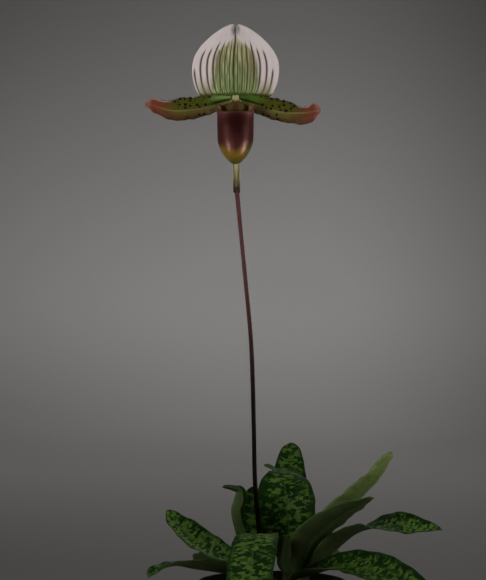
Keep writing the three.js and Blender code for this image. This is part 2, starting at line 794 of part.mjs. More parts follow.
function petalGeometry(name) {
  const petal = PETALS[name];
  const surface = petalSurface(petal);
  let body = solid(blade(surface, () => TEPAL_THICKNESS, 6, 15));
  for (const [u, t, radius] of WARTS[name]) {
    const { x, y, z } = surface(petal.side * u, t);
    const bead = new THREE.OctahedronGeometry(radius).translate(x, y - TEPAL_THICKNESS, z);
    body = body.add(solid(bead));
  }
  return geometryOf(body);
}

// ---------------------------------------------------------------- pouch
// Levels of the slipper from the toe up: [z, y of the middle, half width, half depth], seen from the
// flower's middle. The last level is the rim.
const POUCH = [
  [-38.9, -10.6, 1.3, 1.2],
  [-38.2, -10.5, 2.9, 2.7],
  [-36.3, -10.2, 4.9, 4.8],
  [-33.8, -9.8, 6.9, 6.9],
  [-30.3, -9.2, 9, 8.5],
  [-26.2, -8.8, 10.4, 9.3],
  [-22, -8.4, 10.8, 9.4],
  [-16, -8, 10.9, 9.2],
  [-11.4, -7.6, 11, 8.6],
  [-8, -7.3, 11.7, 8.1],
];
const POUCH_WALL = 0.9;
const POUCH_TOE = 0.3; // the least radius of the hollow
const POUCH_SIDES = 20;
const POUCH_LEVELS = 11;

const RIM = { ears: 4.8, back: 1, dip: 0.45 };

// The rim is lowest at the front, rises to two ears at the sides and on to the back, where it dips
// a little under the column.
function rimLift(angle) {
  const depth = Math.sin(angle); // -1 at the front, 1 at the back
  const ears = RIM.ears * smooth(-0.75, 0.15, depth);
  const rise = RIM.back * smooth(0.75, 0.93, depth);
  const dip = RIM.dip * smooth(0.95, 1, depth);
  return ears + rise - dip;
}

function pouchRing(share, inset) {
  const [z, y, halfWidth, halfDepth] = spline(POUCH, share);
  return Array.from({ length: POUCH_SIDES }, (_, s) => {
    const angle = (2 * Math.PI * s) / POUCH_SIDES;
    const lift = rimLift(angle) * smooth(0.7, 1, share);
    const x = Math.max(halfWidth - inset, POUCH_TOE) * Math.cos(angle);
    const depth = Math.max(halfDepth - inset, POUCH_TOE) * Math.sin(angle);
    return FLOWER.clone().add(vec(x, y + depth, z + lift));
  });
}

function pouchGeometry() {
  const rings = [];
  for (let i = 0; i <= POUCH_LEVELS; i++) rings.push(pouchRing(i / POUCH_LEVELS, 0));
  for (let i = POUCH_LEVELS; i > 1; i--) rings.push(pouchRing(i / POUCH_LEVELS, POUCH_WALL));
  return loft(rings);
}

// ---------------------------------------------------------------- column and staminode
const COLUMN = { radius: 2.3, back: 2.1, front: -4, thickness: 1.1, segments: 12, curveSegments: 5 };
// The right half of the staminode's outline, from the notch between its narrow upper lobes down to the
// tooth in the middle of its lower edge: Bezier stretches of [x, z] points after the first point.
const STAMINODE = {
  start: [0, 2],
  stretches: [
    [[0.5, 3.1], [1.9, 3.1], [2.1, 1.5]],
    [[2.2, 0.6], [1.9, -0.4], [2, -1.2]],
    [[2.4, -2.2], [5, -2], [5.6, -4.2]],
    [[5.9, -5.6], [5.4, -6.9], [4.2, -7]],
    [[3.2, -7.1], [2, -6.3], [1.1, -6.1]],
    [[0.8, -6], [0.4, -6.7], [0, -6.7]],
  ],
};

function staminodeShape() {
  const { start, stretches } = STAMINODE;
  const shape = new THREE.Shape();
  shape.moveTo(...start);
  for (const [a, b, end] of stretches) {
    shape.bezierCurveTo(...a, ...b, ...end);
  }
  const corners = [start, ...stretches.map(([, , end]) => end)];
  for (let i = stretches.length - 1; i >= 0; i--) {
    const [a, b] = stretches[i];
    const [x, z] = corners[i];
    shape.bezierCurveTo(-b[0], b[1], -a[0], a[1], -x, z);
  }
  return shape;
}

function columnGeometry() {
  const { radius, back, front, thickness, segments, curveSegments } = COLUMN;
  const plate = new THREE.ExtrudeGeometry(staminodeShape(), {
    depth: thickness,
    bevelEnabled: false,
    curveSegments,
  });
  plate.rotateX(Math.PI / 2).translate(FLOWER.x, FLOWER.y + front, FLOWER.z);
  const stem = new THREE.CylinderGeometry(radius, radius, back - front, segments).translate(
    FLOWER.x,
    FLOWER.y + (back + front) / 2,
    FLOWER.z,
  );
  return geometryOf(joined([plate, stem]));
}

// ---------------------------------------------------------------- the plant
const plant = new THREE.Group();

function add(name, geometry, color, roughness = 0.6) {
  const material = new THREE.MeshStandardMaterial({ color, roughness, metalness: 0 });
  const mesh = new THREE.Mesh(geometry, material);
  mesh.name = name;
  plant.add(mesh);
}

add("pot", potGeometry(), COLORS.pot, 0.45);
add("potting_bark", barkGeometry(), COLORS.bark, 0.9);
add("rhizome_and_roots", geometryOf(rhizomeSolid(0)), COLORS.root, 0.8);
for (const leaf of LEAVES) {
  add(leaf.name, leafGeometry(leaf), leaf.growth === "young" ? COLORS.leafYoung : COLORS.leaf, 0.45);
}
add("scape", rod(SCAPE, 8, 2), COLORS.scape, 0.7);
add("ovary", rod(OVARY, 10, 2), COLORS.ovary, 0.6);
add("bract", bractGeometry(), COLORS.bract, 0.6);
add("dorsal_sepal", blade(dorsalSurface, () => TEPAL_THICKNESS, 12, 13), COLORS.sepal, 0.5);
add("synsepal", blade(synsepalSurface, () => TEPAL_THICKNESS, 6, 8), COLORS.sepal, 0.5);
for (const name of Object.keys(PETALS)) {
  add(name, petalGeometry(name), COLORS.petal, 0.45);
}
add("pouch", pouchGeometry(), COLORS.pouch, 0.3);
add("column", columnGeometry(), COLORS.column, 0.4);

export default plant;
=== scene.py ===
import math

import bmesh
import bpy
import numpy as np
from mathutils import Matrix, Vector


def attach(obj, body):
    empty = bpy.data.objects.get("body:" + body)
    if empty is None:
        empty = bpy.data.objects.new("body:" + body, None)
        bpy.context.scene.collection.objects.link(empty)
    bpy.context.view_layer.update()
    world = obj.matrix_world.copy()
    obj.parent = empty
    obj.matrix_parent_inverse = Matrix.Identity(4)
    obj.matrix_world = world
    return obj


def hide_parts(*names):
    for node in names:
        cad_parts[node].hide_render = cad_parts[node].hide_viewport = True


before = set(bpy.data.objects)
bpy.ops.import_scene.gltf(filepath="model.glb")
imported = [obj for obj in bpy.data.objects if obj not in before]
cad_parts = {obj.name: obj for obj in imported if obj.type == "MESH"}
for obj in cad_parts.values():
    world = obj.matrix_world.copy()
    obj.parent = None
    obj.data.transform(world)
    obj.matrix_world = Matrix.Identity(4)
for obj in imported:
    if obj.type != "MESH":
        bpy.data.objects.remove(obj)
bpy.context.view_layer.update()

MM = 0.001
SIDES = 96  # of the large round shapes

# ---- sizes, in millimetres
PLAY = 0.3
POT = dict(height=83, base=32.5, rim=45, wall=1.4, floor=2.4, band=9, step=2.2, edge=0.8)
DRAIN = dict(count=6, radius=3, ring=21)
GROWTHS = dict(flowering=(-6, 2), right=(14, 8), young=(9, -13))
BASE_Z = 76
SHEATH = dict(core=1.9, thickness=1.0, clearance=0.5, top=87, step=1.2)
RHIZOME_Z = 70
# Roots: growth, azimuth, reach, height of the end.
ROOTS = [
    ("flowering", 200, 23, 20), ("flowering", 120, 21, 34), ("right", 60, 12, 16),
    ("right", -10, 12, 40), ("young", -60, 12, 26), ("young", -130, 16, 44),
]
FLOWER = np.array([-21.9, 0, 371.5])
TEPAL_THICKNESS = 0.8
POUCH_WALL = 0.9
COLUMN = dict(radius=2.3, back=2.1, front=-4, thickness=1.1)
# The right half of the staminode's outline, x and z: Bezier stretches, each starting where the last ends.
STAMINODE = np.array([
    (0, 2), (0.5, 3.1), (1.9, 3.1), (2.1, 1.5), (2.2, 0.6), (1.9, -0.4), (2, -1.2), (2.4, -2.2), (5, -2),
    (5.6, -4.2), (5.9, -5.6), (5.4, -6.9), (4.2, -7), (3.2, -7.1), (2, -6.3), (1.1, -6.1), (0.8, -6),
    (0.4, -6.7), (0, -6.7),
])
# Leaves: growth, azimuth, nest and curl of the sheath, tone of the underside, how much painted shade
# darkens the leaf, how light its mottling is, and stations [x, y, z of the midrib, half width, curl of each
# half in degrees, x, y, z that the face looks to, where these differ from the last station's].
LEAVES = {
    "leaf_back_upright": ("right", 95, 2, 42, 0.15, 0.58, 0.35, [
        [12.9, 19.5, 95, 8.5, 34, 0, -1, 0.4], [12, 31, 110, 12.5, 26, 0, -0.9, 0.5],
        [11.4, 44, 128, 12.5, 22, -0.05, -0.85, 0.5], [11.9, 55.5, 144.5, 9.8, 18],
        [12.9, 63.5, 156.5, 6.2, 14], [13.4, 66.5, 161, 1.4, 10],
    ]),
    "leaf_back_broad": ("right", 108, 1, 55, 0.15, 0.38, 0.1, [
        [11.4, 15, 98, 10, 32, 0, -1, 0.05], [10.6, 16.4, 112, 15.5, 22, -0.05, -1, 0.1],
        [9, 19, 125.5, 18.6, 16, -0.2, -0.95, 0.2], [8.2, 24, 137.2, 16, 12, -0.1, -0.75, 0.6],
        [8.6, 32, 143.4, 11.4, 8, 0.1, -0.35, 0.95], [6.8, 41.5, 145.6, 6.8, 8, 0.1, -0.2, 1],
        [1.8, 50.5, 146.8, 3, 8, 0.1, -0.1, 1], [-4, 57.5, 148, 1, 6],
    ]),
    "leaf_left_channelled": ("flowering", 183, 0, 75, 0.35, 0.58, 0.2, [
        [-12.5, 2.4, 95, 5.6, 60, 1, 0, 0.5], [-17.8, 2.6, 105, 8.6, 50, 1, 0, 0.3],
        [-20.6, 2.8, 115, 12.2, 46, 1, -0.05, 0.1], [-22.7, 2.7, 125, 13.5, 44, 1, -0.1, -0.1],
        [-20.6, 3.1, 132.4, 12, 42, 0.95, -0.1, -0.3], [-19.6, 3.4, 136.8, 9.5, 34, 0.7, -0.05, 0.6],
        [-23.4, 3.5, 138.8, 6, 20, 0.1, 0, 1], [-29.4, 3.5, 139.8, 1.2, 10, 0, 0, 1],
    ]),
    "leaf_left_upper": ("flowering", 160, 2, 52, 0.5, 0, 0.95, [
        [-18, 6, 91, 9.5, 36, 0.6, -0.2, 0.8], [-30.3, 9, 97, 11.4, 28, 0.45, -0.4, 0.85],
        [-43.4, 12, 104.4, 12.8, 22, 0.4, -0.45, 0.8], [-55.4, 15.5, 113.8, 10.2, 20, 0.4, -0.5, 0.75],
        [-61.2, 18, 120.6, 5.2, 16], [-63.4, 19, 123.6, 1.2, 12],
    ]),
    "leaf_left_lower": ("flowering", 222, 3, 50, 0.3, 0.28, 0.2, [
        [-19, -8, 88.5, 11, 34, 0.3, 0.35, 0.9], [-34, -15, 92.4, 14.5, 26, 0.15, 0.36, 0.93],
        [-46.5, -22.5, 95.2, 13, 22, 0.05, 0.34, 0.95], [-56, -29, 98, 8, 16, 0, 0.14, 1],
        [-64, -35, 97.2, 5, 12, -0.2, 0, 1], [-69.5, -39.5, 94.4, 4.6, 14, -0.35, -0.5, 0.75],
        [-72.3, -42, 91.9, 1, 12, -0.4, -0.6, 0.65],
    ]),
    "leaf_front_centre": ("flowering", 262, 1, 55, 0.15, 0.28, 0.45, [
        [-7.4, -8.6, 101, 7.2, 36, 0, 1, 0.6], [-8.2, -20, 112, 11, 14, 0, 0.4, 1],
        [-9.2, -35, 115.4, 12.4, -8, 0, -0.1, 1], [-11.2, -49, 110, 13.4, -8, -0.05, -0.45, 0.9],
        [-13.2, -62, 99, 13.4, 8, -0.05, -0.75, 0.65], [-14.8, -72.5, 84.5, 10.5, 14, -0.05, -0.85, 0.5],
        [-15.4, -79, 70, 1.2, 12, -0.05, -0.9, 0.4],
    ]),
    "leaf_back_left": ("flowering", 100, 1, 48, 0.15, 0.55, 0.2, [
        [-10, 13.5, 98, 7.2, 38, 0.15, -1, 0.2], [-12.4, 21.5, 112, 10, 28, 0.2, -0.9, 0.35],
        [-11.8, 27, 125, 9, 22, 0.2, -0.9, 0.45], [-10.8, 31.5, 133.5, 4.2, 18, 0.1, -0.9, 0.45],
        [-10.3, 33, 136.4, 1, 12, 0, -0.9, 0.45],
    ]),
    "leaf_back_low": ("flowering", 124, 3, 38, 0.15, 0.2, 0.2, [
        [-15, 19, 88.5, 9.5, 28, 0.1, -0.6, 0.8], [-23.5, 33, 92.5, 14, 22, 0.1, -0.2, 1],
        [-32, 48, 93, 14.5, 20, -0.1, 0.1, 1], [-40, 61, 89.5, 10.5, 18, -0.2, 0.3, 0.95],
        [-46, 71.5, 83.5, 1.2, 14, -0.2, 0.5, 0.9],
    ]),
    "leaf_right_long": ("right", -33, 0, 75, 1, 0, 0.2, [
        [18, 5.2, 97, 6.4, 62, -0.6, 0.7, 0.35], [26, 1.8, 108.5, 10.5, 48, -0.6, 0.65, 0.5],
        [37.6, -4, 121, 12.5, 38, -0.6, 0.6, 0.6], [50, -11.5, 134.4, 12, 32, -0.6, 0.55, 0.65],
        [61.4, -18.6, 147.8, 9.4, 26, -0.6, 0.5, 0.7], [67.6, -22.8, 158.6, 5.6, 18],
        [69, -23.8, 162.4, 1.6, 12],
    ]),
    "leaf_right_front": ("right", -58, 2, 52, 0.38, 0.34, 0.2, [
        [18.5, -2, 96, 9, 44, -0.35, 0.9, 0.3], [24, -11, 109, 13, 34, -0.4, 0.75, 0.5],
        [34.6, -22.5, 120.4, 14, 28, -0.4, 0.65, 0.65], [46.4, -34, 130.4, 10.6, 24, -0.4, 0.6, 0.7],
        [57.6, -44, 138, 2.4, 14, -0.4, 0.55, 0.75],
    ]),
    "leaf_right_twisted": ("right", -25, 3, 52, 0.3, 0.22, 0.3, [
        [29, 1.5, 93, 10.5, 38, -0.5, 0.35, 0.75], [40.5, -5, 107, 13.5, 30, -0.5, 0.45, 0.75],
        [54.5, -12, 116.6, 11.5, 24, -0.3, 0.2, 0.95], [69, -19, 119.4, 11.6, 22, 0, -0.4, 0.92],
        [84, -25.5, 118.8, 7.6, 20, 0.05, -0.6, 0.78], [98.5, -32, 118.2, 1, 14, 0.05, -0.6, 0.8],
    ]),
    "leaf_back_right": ("right", 46, 4, 30, 0.15, 0.2, 0.2, [
        [24, 20.5, 88.5, 8.6, 28, -0.5, -0.4, 0.8], [34, 35, 93, 14, 24, -0.2, -0.2, 1],
        [46, 50, 92.5, 15, 22, 0, 0, 1], [57, 63.5, 86, 11, 20, 0.25, 0.2, 0.95],
        [66, 74, 76.5, 1.2, 14, 0.4, 0.4, 0.8],
    ]),
    "leaf_young_folded": ("young", -120, 0, 78, 0.15, 0.72, 0.2, [
        [8, -15.6, 90.5, 3.8, 78, 0.48, 0.88, 0], [6, -15.9, 96, 5.2, 72, 0.4, 0.92, 0],
        [6.2, -16.4, 103, 5, 66, 0.3, 0.95, 0.1], [6.8, -17.6, 109, 3.6, 60, 0.2, 1, 0.2],
        [7.4, -18.8, 112.8, 0.9, 40, 0.2, 1, 0.3],
    ]),
    "leaf_front_right": ("young", -28, 1, 60, 0.15, 0.38, 0.25, [
        [20, -19, 89.5, 11, 40, -0.5, 0.2, 0.85], [34, -27, 95.5, 15.5, 30, -0.2, -0.1, 1],
        [50, -36, 96.5, 16.5, 24, 0.05, -0.35, 0.95], [66, -45, 92, 16, 22, 0.2, -0.5, 0.85],
        [81, -54, 83, 13.5, 20, 0.35, -0.55, 0.75], [92, -60.5, 72, 8, 18, 0.4, -0.55, 0.7],
        [98, -64, 63, 1.2, 12],
    ]),
}
# The flower stalk and the ovary: stations [x, y, z, radius].
SCAPE = [
    [-6, 2, BASE_Z, 1.8], [-6.4, 2.1, 96, 1.7], [-8, 2.6, 117, 1.45], [-10.1, 3.4, 140, 1.35],
    [-10.9, 4.6, 175, 1.3], [-11.6, 5.6, 204, 1.3], [-12.8, 6.6, 230, 1.25], [-15.8, 8, 262, 1.2],
    [-18.7, 9.1, 292, 1.2], [-21.3, 10, 319.2, 1.4],
]
OVARY = [
    [-21.3, 10, 319.5, 1.4], [-21.4, 12, 332, 1.6], [-21.6, 14.2, 346, 2.1], [-21.8, 13.4, 358, 2.6],
    [-21.9, 9.4, 367, 2.9], [-21.9, 4.6, 371.1, 2.9], [-21.9, 2.4, 371.5, 2.5],
]
# Stations [x, y, z, radius, degrees to each side of the back].
BRACT = [
    [-21.2, 9.9, 316.5, 2.3, 150], [-21.35, 11, 326, 2.5, 140], [-21.5, 12.9, 336.5, 2.7, 105],
    [-21.6, 14.8, 345, 3.3, 30],
]
# Stations [height, half width, depth] from the middle of the flower.
DORSAL = [
    [3.3, 3.2, 4.3], [3.6, 12, 4.3], [4.4, 18.6, 4.4], [6.4, 22.6, 4.6], [10, 24.8, 4.9],
    [15, 25.9, 5.1], [20, 26.2, 4.9], [25, 25.3, 4.2], [29.5, 23, 3.2], [34, 19.6, 1.8],
    [38.3, 14.9, 0.2], [41.9, 9.4, -1.4], [44.3, 4.6, -2.5], [45.1, 2.4, -2.6],
]
SYNSEPAL = [
    [-4, 2.6, 3], [-7, 6.5, 3.6], [-12.5, 9, 4.8], [-19, 9.2, 5.8], [-26, 7, 6], [-31, 3.6, 5.2],
    [-33.5, 0.8, 4.2],
]
# Stations [height, depth of the middle, half width, half depth] from the middle of the flower.
POUCH = [
    [-38.9, -10.6, 1.3, 1.2], [-38.2, -10.5, 2.9, 2.7], [-36.3, -10.2, 4.9, 4.8],
    [-33.8, -9.8, 6.9, 6.9], [-30.3, -9.2, 9, 8.5], [-26.2, -8.8, 10.4, 9.3], [-22, -8.4, 10.8, 9.4],
    [-16, -8, 10.9, 9.2], [-11.4, -7.6, 11, 8.6], [-8, -7.3, 11.7, 8.1],
]
# Each petal: its side, and stations [distance from the middle, depth, height of the upper margin,
# height of the ridge, height of the lower margin, curl].
PETALS = {
    "petal_left": (-1, [
        [2.7, 2.0, 2.7, 0.3, -2, 0.2], [8, 2.4, 3.4, -1.2, -5.4, 1.4], [13, 1.6, 3.4, -2.8, -7.4, 2.4],
        [19, 0.8, 2.4, -4.2, -9.6, 2.8], [26, 0.2, 1.8, -5.4, -11.4, 2.8],
        [34, -0.6, 1.2, -6, -12.2, 2.6], [40, -1.6, -0.6, -5.6, -11.8, 1.6],
        [45, -2.8, -0.2, -4.4, -9.4, 0.2], [49.6, -4.2, 0.6, -3, -7.2, -1.2],
        [53.6, -5.6, -2.2, -3.2, -4.4, -0.4],
    ]),
    "petal_right": (1, [
        [2.7, 2.0, 2.7, 0.3, -2, 0.2], [8, 2.4, 3.6, -1.2, -5.6, 1.4], [13, 1.6, 3.2, -3, -8, 2.4],
        [19, 0.8, 2.2, -4.8, -10.4, 2.8], [26, 0.2, 0.8, -6.6, -12.6, 2.8],
        [33, -0.6, -1.2, -7.4, -13.8, 2.6], [39, -1.6, -4.2, -7.2, -14.8, 1.6],
        [43.6, -2.8, -4, -7, -14.2, 0.2], [47, -4.2, -1.8, -6.4, -12.4, -1.2],
        [50.6, -5.6, -5.4, -6.6, -8.4, -0.4],
    ]),
}
# Warts: u (1 at the upper margin), t, radius.
WARTS = {
    "petal_left": [
        [0.92, 0.545, 0.85], [0.92, 0.505, 0.8], [0.94, 0.46, 0.9], [0.7, 0.46, 0.65],
        [0.95, 0.382, 0.75], [0.87, 0.273, 0.6], [0.78, 0.6, 0.7], [0.45, 0.55, 0.7], [0.42, 0.5, 0.85],
        [0.14, 0.5, 0.7], [0.29, 0.46, 0.65], [0.3, 0.4, 0.75], [0.08, 0.375, 0.65], [0.21, 0.316, 0.75],
        [-0.68, 0.378, 0.6], [-0.76, 0.33, 0.65],
    ],
    "petal_right": [
        [0.87, 0.376, 0.8], [0.9, 0.433, 0.75], [0.92, 0.489, 0.9], [0.88, 0.553, 0.75],
        [0.68, 0.592, 0.8], [0.88, 0.27, 0.6], [0.57, 0.494, 0.75], [0.38, 0.56, 0.65],
        [0.35, 0.45, 0.65], [0.08, 0.511, 0.95], [0.1, 0.46, 0.6], [0.3, 0.385, 0.7],
        [0.03, 0.369, 0.75], [0, 0.325, 0.65], [0.2, 0.285, 0.75], [-0.42, 0.424, 0.7],
        [-0.84, 0.433, 0.8], [-0.76, 0.347, 0.6], [-0.8, 0.289, 0.7],
    ],
}


# ---- general shapes
def unit(v):
    return v / np.maximum(np.linalg.norm(v, axis=-1, keepdims=True), 1e-9)


def smooth(low, high, x):
    f = np.clip((np.asarray(x, float) - low) / (high - low), 0, 1)
    return f * f * (3 - 2 * f)


def bell(x, width):
    return np.exp(-((x / width) ** 2))


def lens(u):
    """1 in the middle of a blade, 0 at its margins."""
    return np.sqrt(np.maximum(1 - u * u, 0))


def xyz(x, y, z):
    return np.stack(np.broadcast_arrays(x, y, z), -1)


def around(sides):
    """Angles evenly round a circle."""
    return 2 * math.pi * np.arange(sides) / sides


def ring(radius, angle, z):
    return xyz(radius * np.cos(angle), radius * np.sin(angle), z)


def spline(rows, t):
    """A smooth curve through rows of numbers, by Catmull and Rom's rule; t runs from 0 to 1."""
    rows = np.asarray(rows, float)
    place = np.clip(t, 0, 1) * (len(rows) - 1)
    i = np.minimum(place.astype(int), len(rows) - 2)
    f = (place - i)[..., None]
    ends = np.vstack([2 * rows[0] - rows[1], rows, 2 * rows[-1] - rows[-2]])
    a, b, c, d = ends[i], ends[i + 1], ends[i + 2], ends[i + 3]
    return b + 0.5 * f * (c - a + f * (2 * a - 5 * b + 4 * c - d + f * (3 * (b - c) + d - a)))


def at(rows, t):
    """The numbers of a curve at t, one array for each."""
    return np.moveaxis(spline(rows, t), -1, 0)


def heading(rows, t, step=0.005):
    """The direction of a curve, whose rows start with x, y and z."""
    return unit((spline(rows, t + step) - spline(rows, t - step))[..., :3])


def square(v, axis):
    """The unit vector nearest to v that is square to the axis."""
    return unit(v - axis * np.sum(v * axis, -1, keepdims=True))


def link(obj):
    bpy.context.scene.collection.objects.link(obj)
    return obj


def mesh_object(name, points, faces, material):
    mesh = bpy.data.meshes.new(name)
    mesh.from_pydata(points.tolist(), [], faces)
    mesh.polygons.foreach_set("use_smooth", [True] * len(mesh.polygons))
    mesh.materials.append(material)
    mesh.update()
    return link(bpy.data.objects.new(name, mesh))


def part(points, faces, place=0, shape=0, mark=0):
    """Points and faces with three vectors for each point, which the materials read:
    place (mm across, mm along, 0), shape (u, t, 1 on the upper face) and mark (for each material)."""
    points = np.asarray(points, float).reshape(-1, 3)
    fields = {name: np.broadcast_to(np.asarray(value, float), points.shape).copy()
              for name, value in dict(place=place, shape=shape, mark=mark).items()}
    return dict(points=points, faces=faces, **fields)


def piece(name, parts, material, node):
    """One object made of these parts, which stands for its node and rides on the only body."""
    faces = []
    offset = 0
    for one in parts:
        faces += [[v + offset for v in face] for face in one["faces"]]
        offset += len(one["points"])
    obj = mesh_object(name, np.vstack([one["points"] for one in parts]) * MM, faces, material)
    for field in ("place", "shape", "mark"):
        values = np.vstack([one[field] for one in parts])
        layer = obj.data.attributes.new(field, "FLOAT_VECTOR", "POINT")
        layer.data.foreach_set("vector", values.astype(np.float32).ravel())
    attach(obj, "root")
    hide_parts(node)
    return obj


def grid_faces(rows, columns, offset=0, flip=False, closed=False):
    """The faces of a grid of points, row by row; closed joins each row's last point to its first."""
    width = columns if closed else columns + 1
    faces = []
    for low in range(offset, offset + rows * width, width):
        for i in range(columns):
            k = (i + 1) % width
            face = [low + i, low + k, low + width + k, low + width + i]
            faces.append(face[::-1] if flip else face)
    return faces


def blade(surface, thickness, columns, rows, relief, mark=0):
    """A thin blade below surface(u, t), with u from -1 to 1 across and t from 0 to 1 along.
    relief(u, t, across, along) lifts both faces; thickness takes the same four."""
    u, t = np.meshgrid(np.linspace(-1, 1, columns + 1), np.linspace(0, 1, rows + 1))
    e = 1e-3
    points = surface(u, t)
    across = surface(np.minimum(u + e, 1), t) - surface(np.maximum(u - e, -1), t)
    along = surface(u, np.minimum(t + e, 1)) - surface(u, np.maximum(t - e, 0))
    normal = unit(np.cross(across, along))
    steps = np.linalg.norm(np.diff(points, axis=1), axis=2)
    s = np.concatenate([np.zeros((rows + 1, 1)), np.cumsum(steps, 1)], 1)
    s -= s[:, columns // 2][:, None]
    spine = np.linalg.norm(np.diff(points[:, columns // 2], axis=0), axis=1)
    a = np.broadcast_to(np.concatenate([[0], np.cumsum(spine)])[:, None], s.shape)
    points = points + normal * relief(u, t, s, a)[..., None]
    lower = points - normal * thickness(u, t, s, a)[..., None]
    index = np.arange(u.size).reshape(u.shape)
    rim = [*index[0, :-1], *index[:-1, -1], *index[-1, :0:-1], *index[:0:-1, 0]]
    faces = grid_faces(rows, columns) + grid_faces(rows, columns, u.size, flip=True)
    faces += [[p, p + u.size, q + u.size, q] for p, q in zip(rim, rim[1:] + rim[:1])]
    place = xyz(s, a, 0)
    made = part([points, lower], faces, np.reshape([place, place], (-1, 3)),
                np.reshape([xyz(u, t, 1), xyz(u, t, 0)], (-1, 3)), mark)
    made["normals"] = np.reshape([normal, -normal], (-1, 3))
    return made


def loft(rings, place=0, shape=0, mark=0):
    """A closed body through rings of equally many points, with a fan over each end."""
    def spread(value):
        """A value for each point of the rings, with the middles of both ends added, or one for all."""
        value = np.asarray(value, float)
        return value if value.ndim < 3 else np.vstack([*value, value[0].mean(0), value[-1].mean(0)])

    rows, sides = len(rings), len(rings[0])
    end = (rows - 1) * sides
    faces = grid_faces(rows - 1, sides, closed=True)
    for i in range(sides):
        k = (i + 1) % sides
        faces += [[rows * sides, k, i], [rows * sides + 1, end + i, end + k]]
    return part(spread(rings), faces, spread(place), spread(shape), spread(mark))


def rod(stations, sides, rows, ribs=0, relief=0, mark=0):
    """A rod through stations [x, y, z, radius], with ribs round it that stand out by relief."""
    t = np.linspace(0, 1, rows + 1)
    centre = spline(stations, t)
    tangent = heading(stations, t)
    angle = around(sides)
    across = np.array([1, 0.3, 0.1])
    rings, place, shape = [], [], []
    along = 0.0
    for j in range(rows + 1):
        across = square(across, tangent[j])
        up = np.cross(tangent[j], across)
        radius = centre[j, 3] + relief * np.cos(ribs * angle) * math.sin(math.pi * t[j])
        if j:
            along += np.linalg.norm(centre[j, :3] - centre[j - 1, :3])
        rings.append(centre[j, :3] + ring(radius, angle, 0) @ [across, up, tangent[j]])
        place.append(xyz(angle * centre[j, 3], along, 0))
        shape.append(xyz(angle / math.pi - 1, t[j], 1))
    return loft(rings, place, shape, mark)


def form_of(body):
    """The points and faces of a bmesh, which ends here."""
    body.verts.index_update()
    points = np.array([v.co[:] for v in body.verts])
    faces = [[v.index for v in f.verts] for f in body.faces]
    body.free()
    return points, faces


ball = bmesh.new()
bmesh.ops.create_icosphere(ball, subdivisions=2, radius=1)
BALL = form_of(ball)


def bead(centre, axes, radii, mark, shape=0):
    """An egg-shaped bead with three half axes along three unit vectors."""
    return part(centre + BALL[0] * radii @ np.array(axes), BALL[1], 0, shape, mark)


def hairs(roots, directions, lengths, radius, mark, bend=0):
    """Three-sided hairs, each of two pieces, so that it bends downwards by its share of the length."""
    points, faces = [], []
    for root, direction, length in zip(roots, unit(directions), lengths):
        side = unit(np.cross(direction, [0.31, 0.47, 0.83]))
        rays = [math.cos(a) * side + math.sin(a) * np.cross(direction, side) for a in around(3)]
        foot = len(points)
        middle = foot + 3
        points += [root - 0.1 * direction + radius * ray for ray in rays]
        points += [root + 0.55 * length * direction + 0.65 * radius * ray for ray in rays]
        points.append(root + direction * length - [0, 0, bend * length])
        for k in range(3):
            n = (k + 1) % 3
            faces += [[foot + k, foot + n, middle + n, middle + k], [middle + k, middle + n, middle + 3]]
    return part(points, faces, mark=mark)


# ---- materials
class Wire:
    """An output of a node. Sums, products and steps of it are new nodes."""

    def __init__(self, shader, socket):
        self.shader = shader
        self.socket = socket

    def math(self, operation, other=0):
        return self.shader.node("Math", {0: self, 1: other}, operation=operation)

    def __add__(self, other):
        return self.math("ADD", other)

    def __sub__(self, other):
        return self.math("SUBTRACT", other)

    def __mul__(self, other):
        return self.math("MULTIPLY", other)

    def __abs__(self):
        return self.math("ABSOLUTE")

    def most(self, other):
        return self.math("MAXIMUM", other)

    def step(self, low, high, first=0, last=1):
        """Goes smoothly from first at low to last at high."""
        return self.shader.node("MapRange", {0: self, 1: low, 2: high, 3: first, 4: last},
                                interpolation_type="SMOOTHSTEP")

    def fall(self, low, high, first=1):
        """Goes smoothly from first at low to 0 at high."""
        return self.step(low, high, first, 0)

    def mix(self, a, b):
        """Colour a where this is 0, and b where it is 1."""
        return self.shader.coats(a, (self, b))


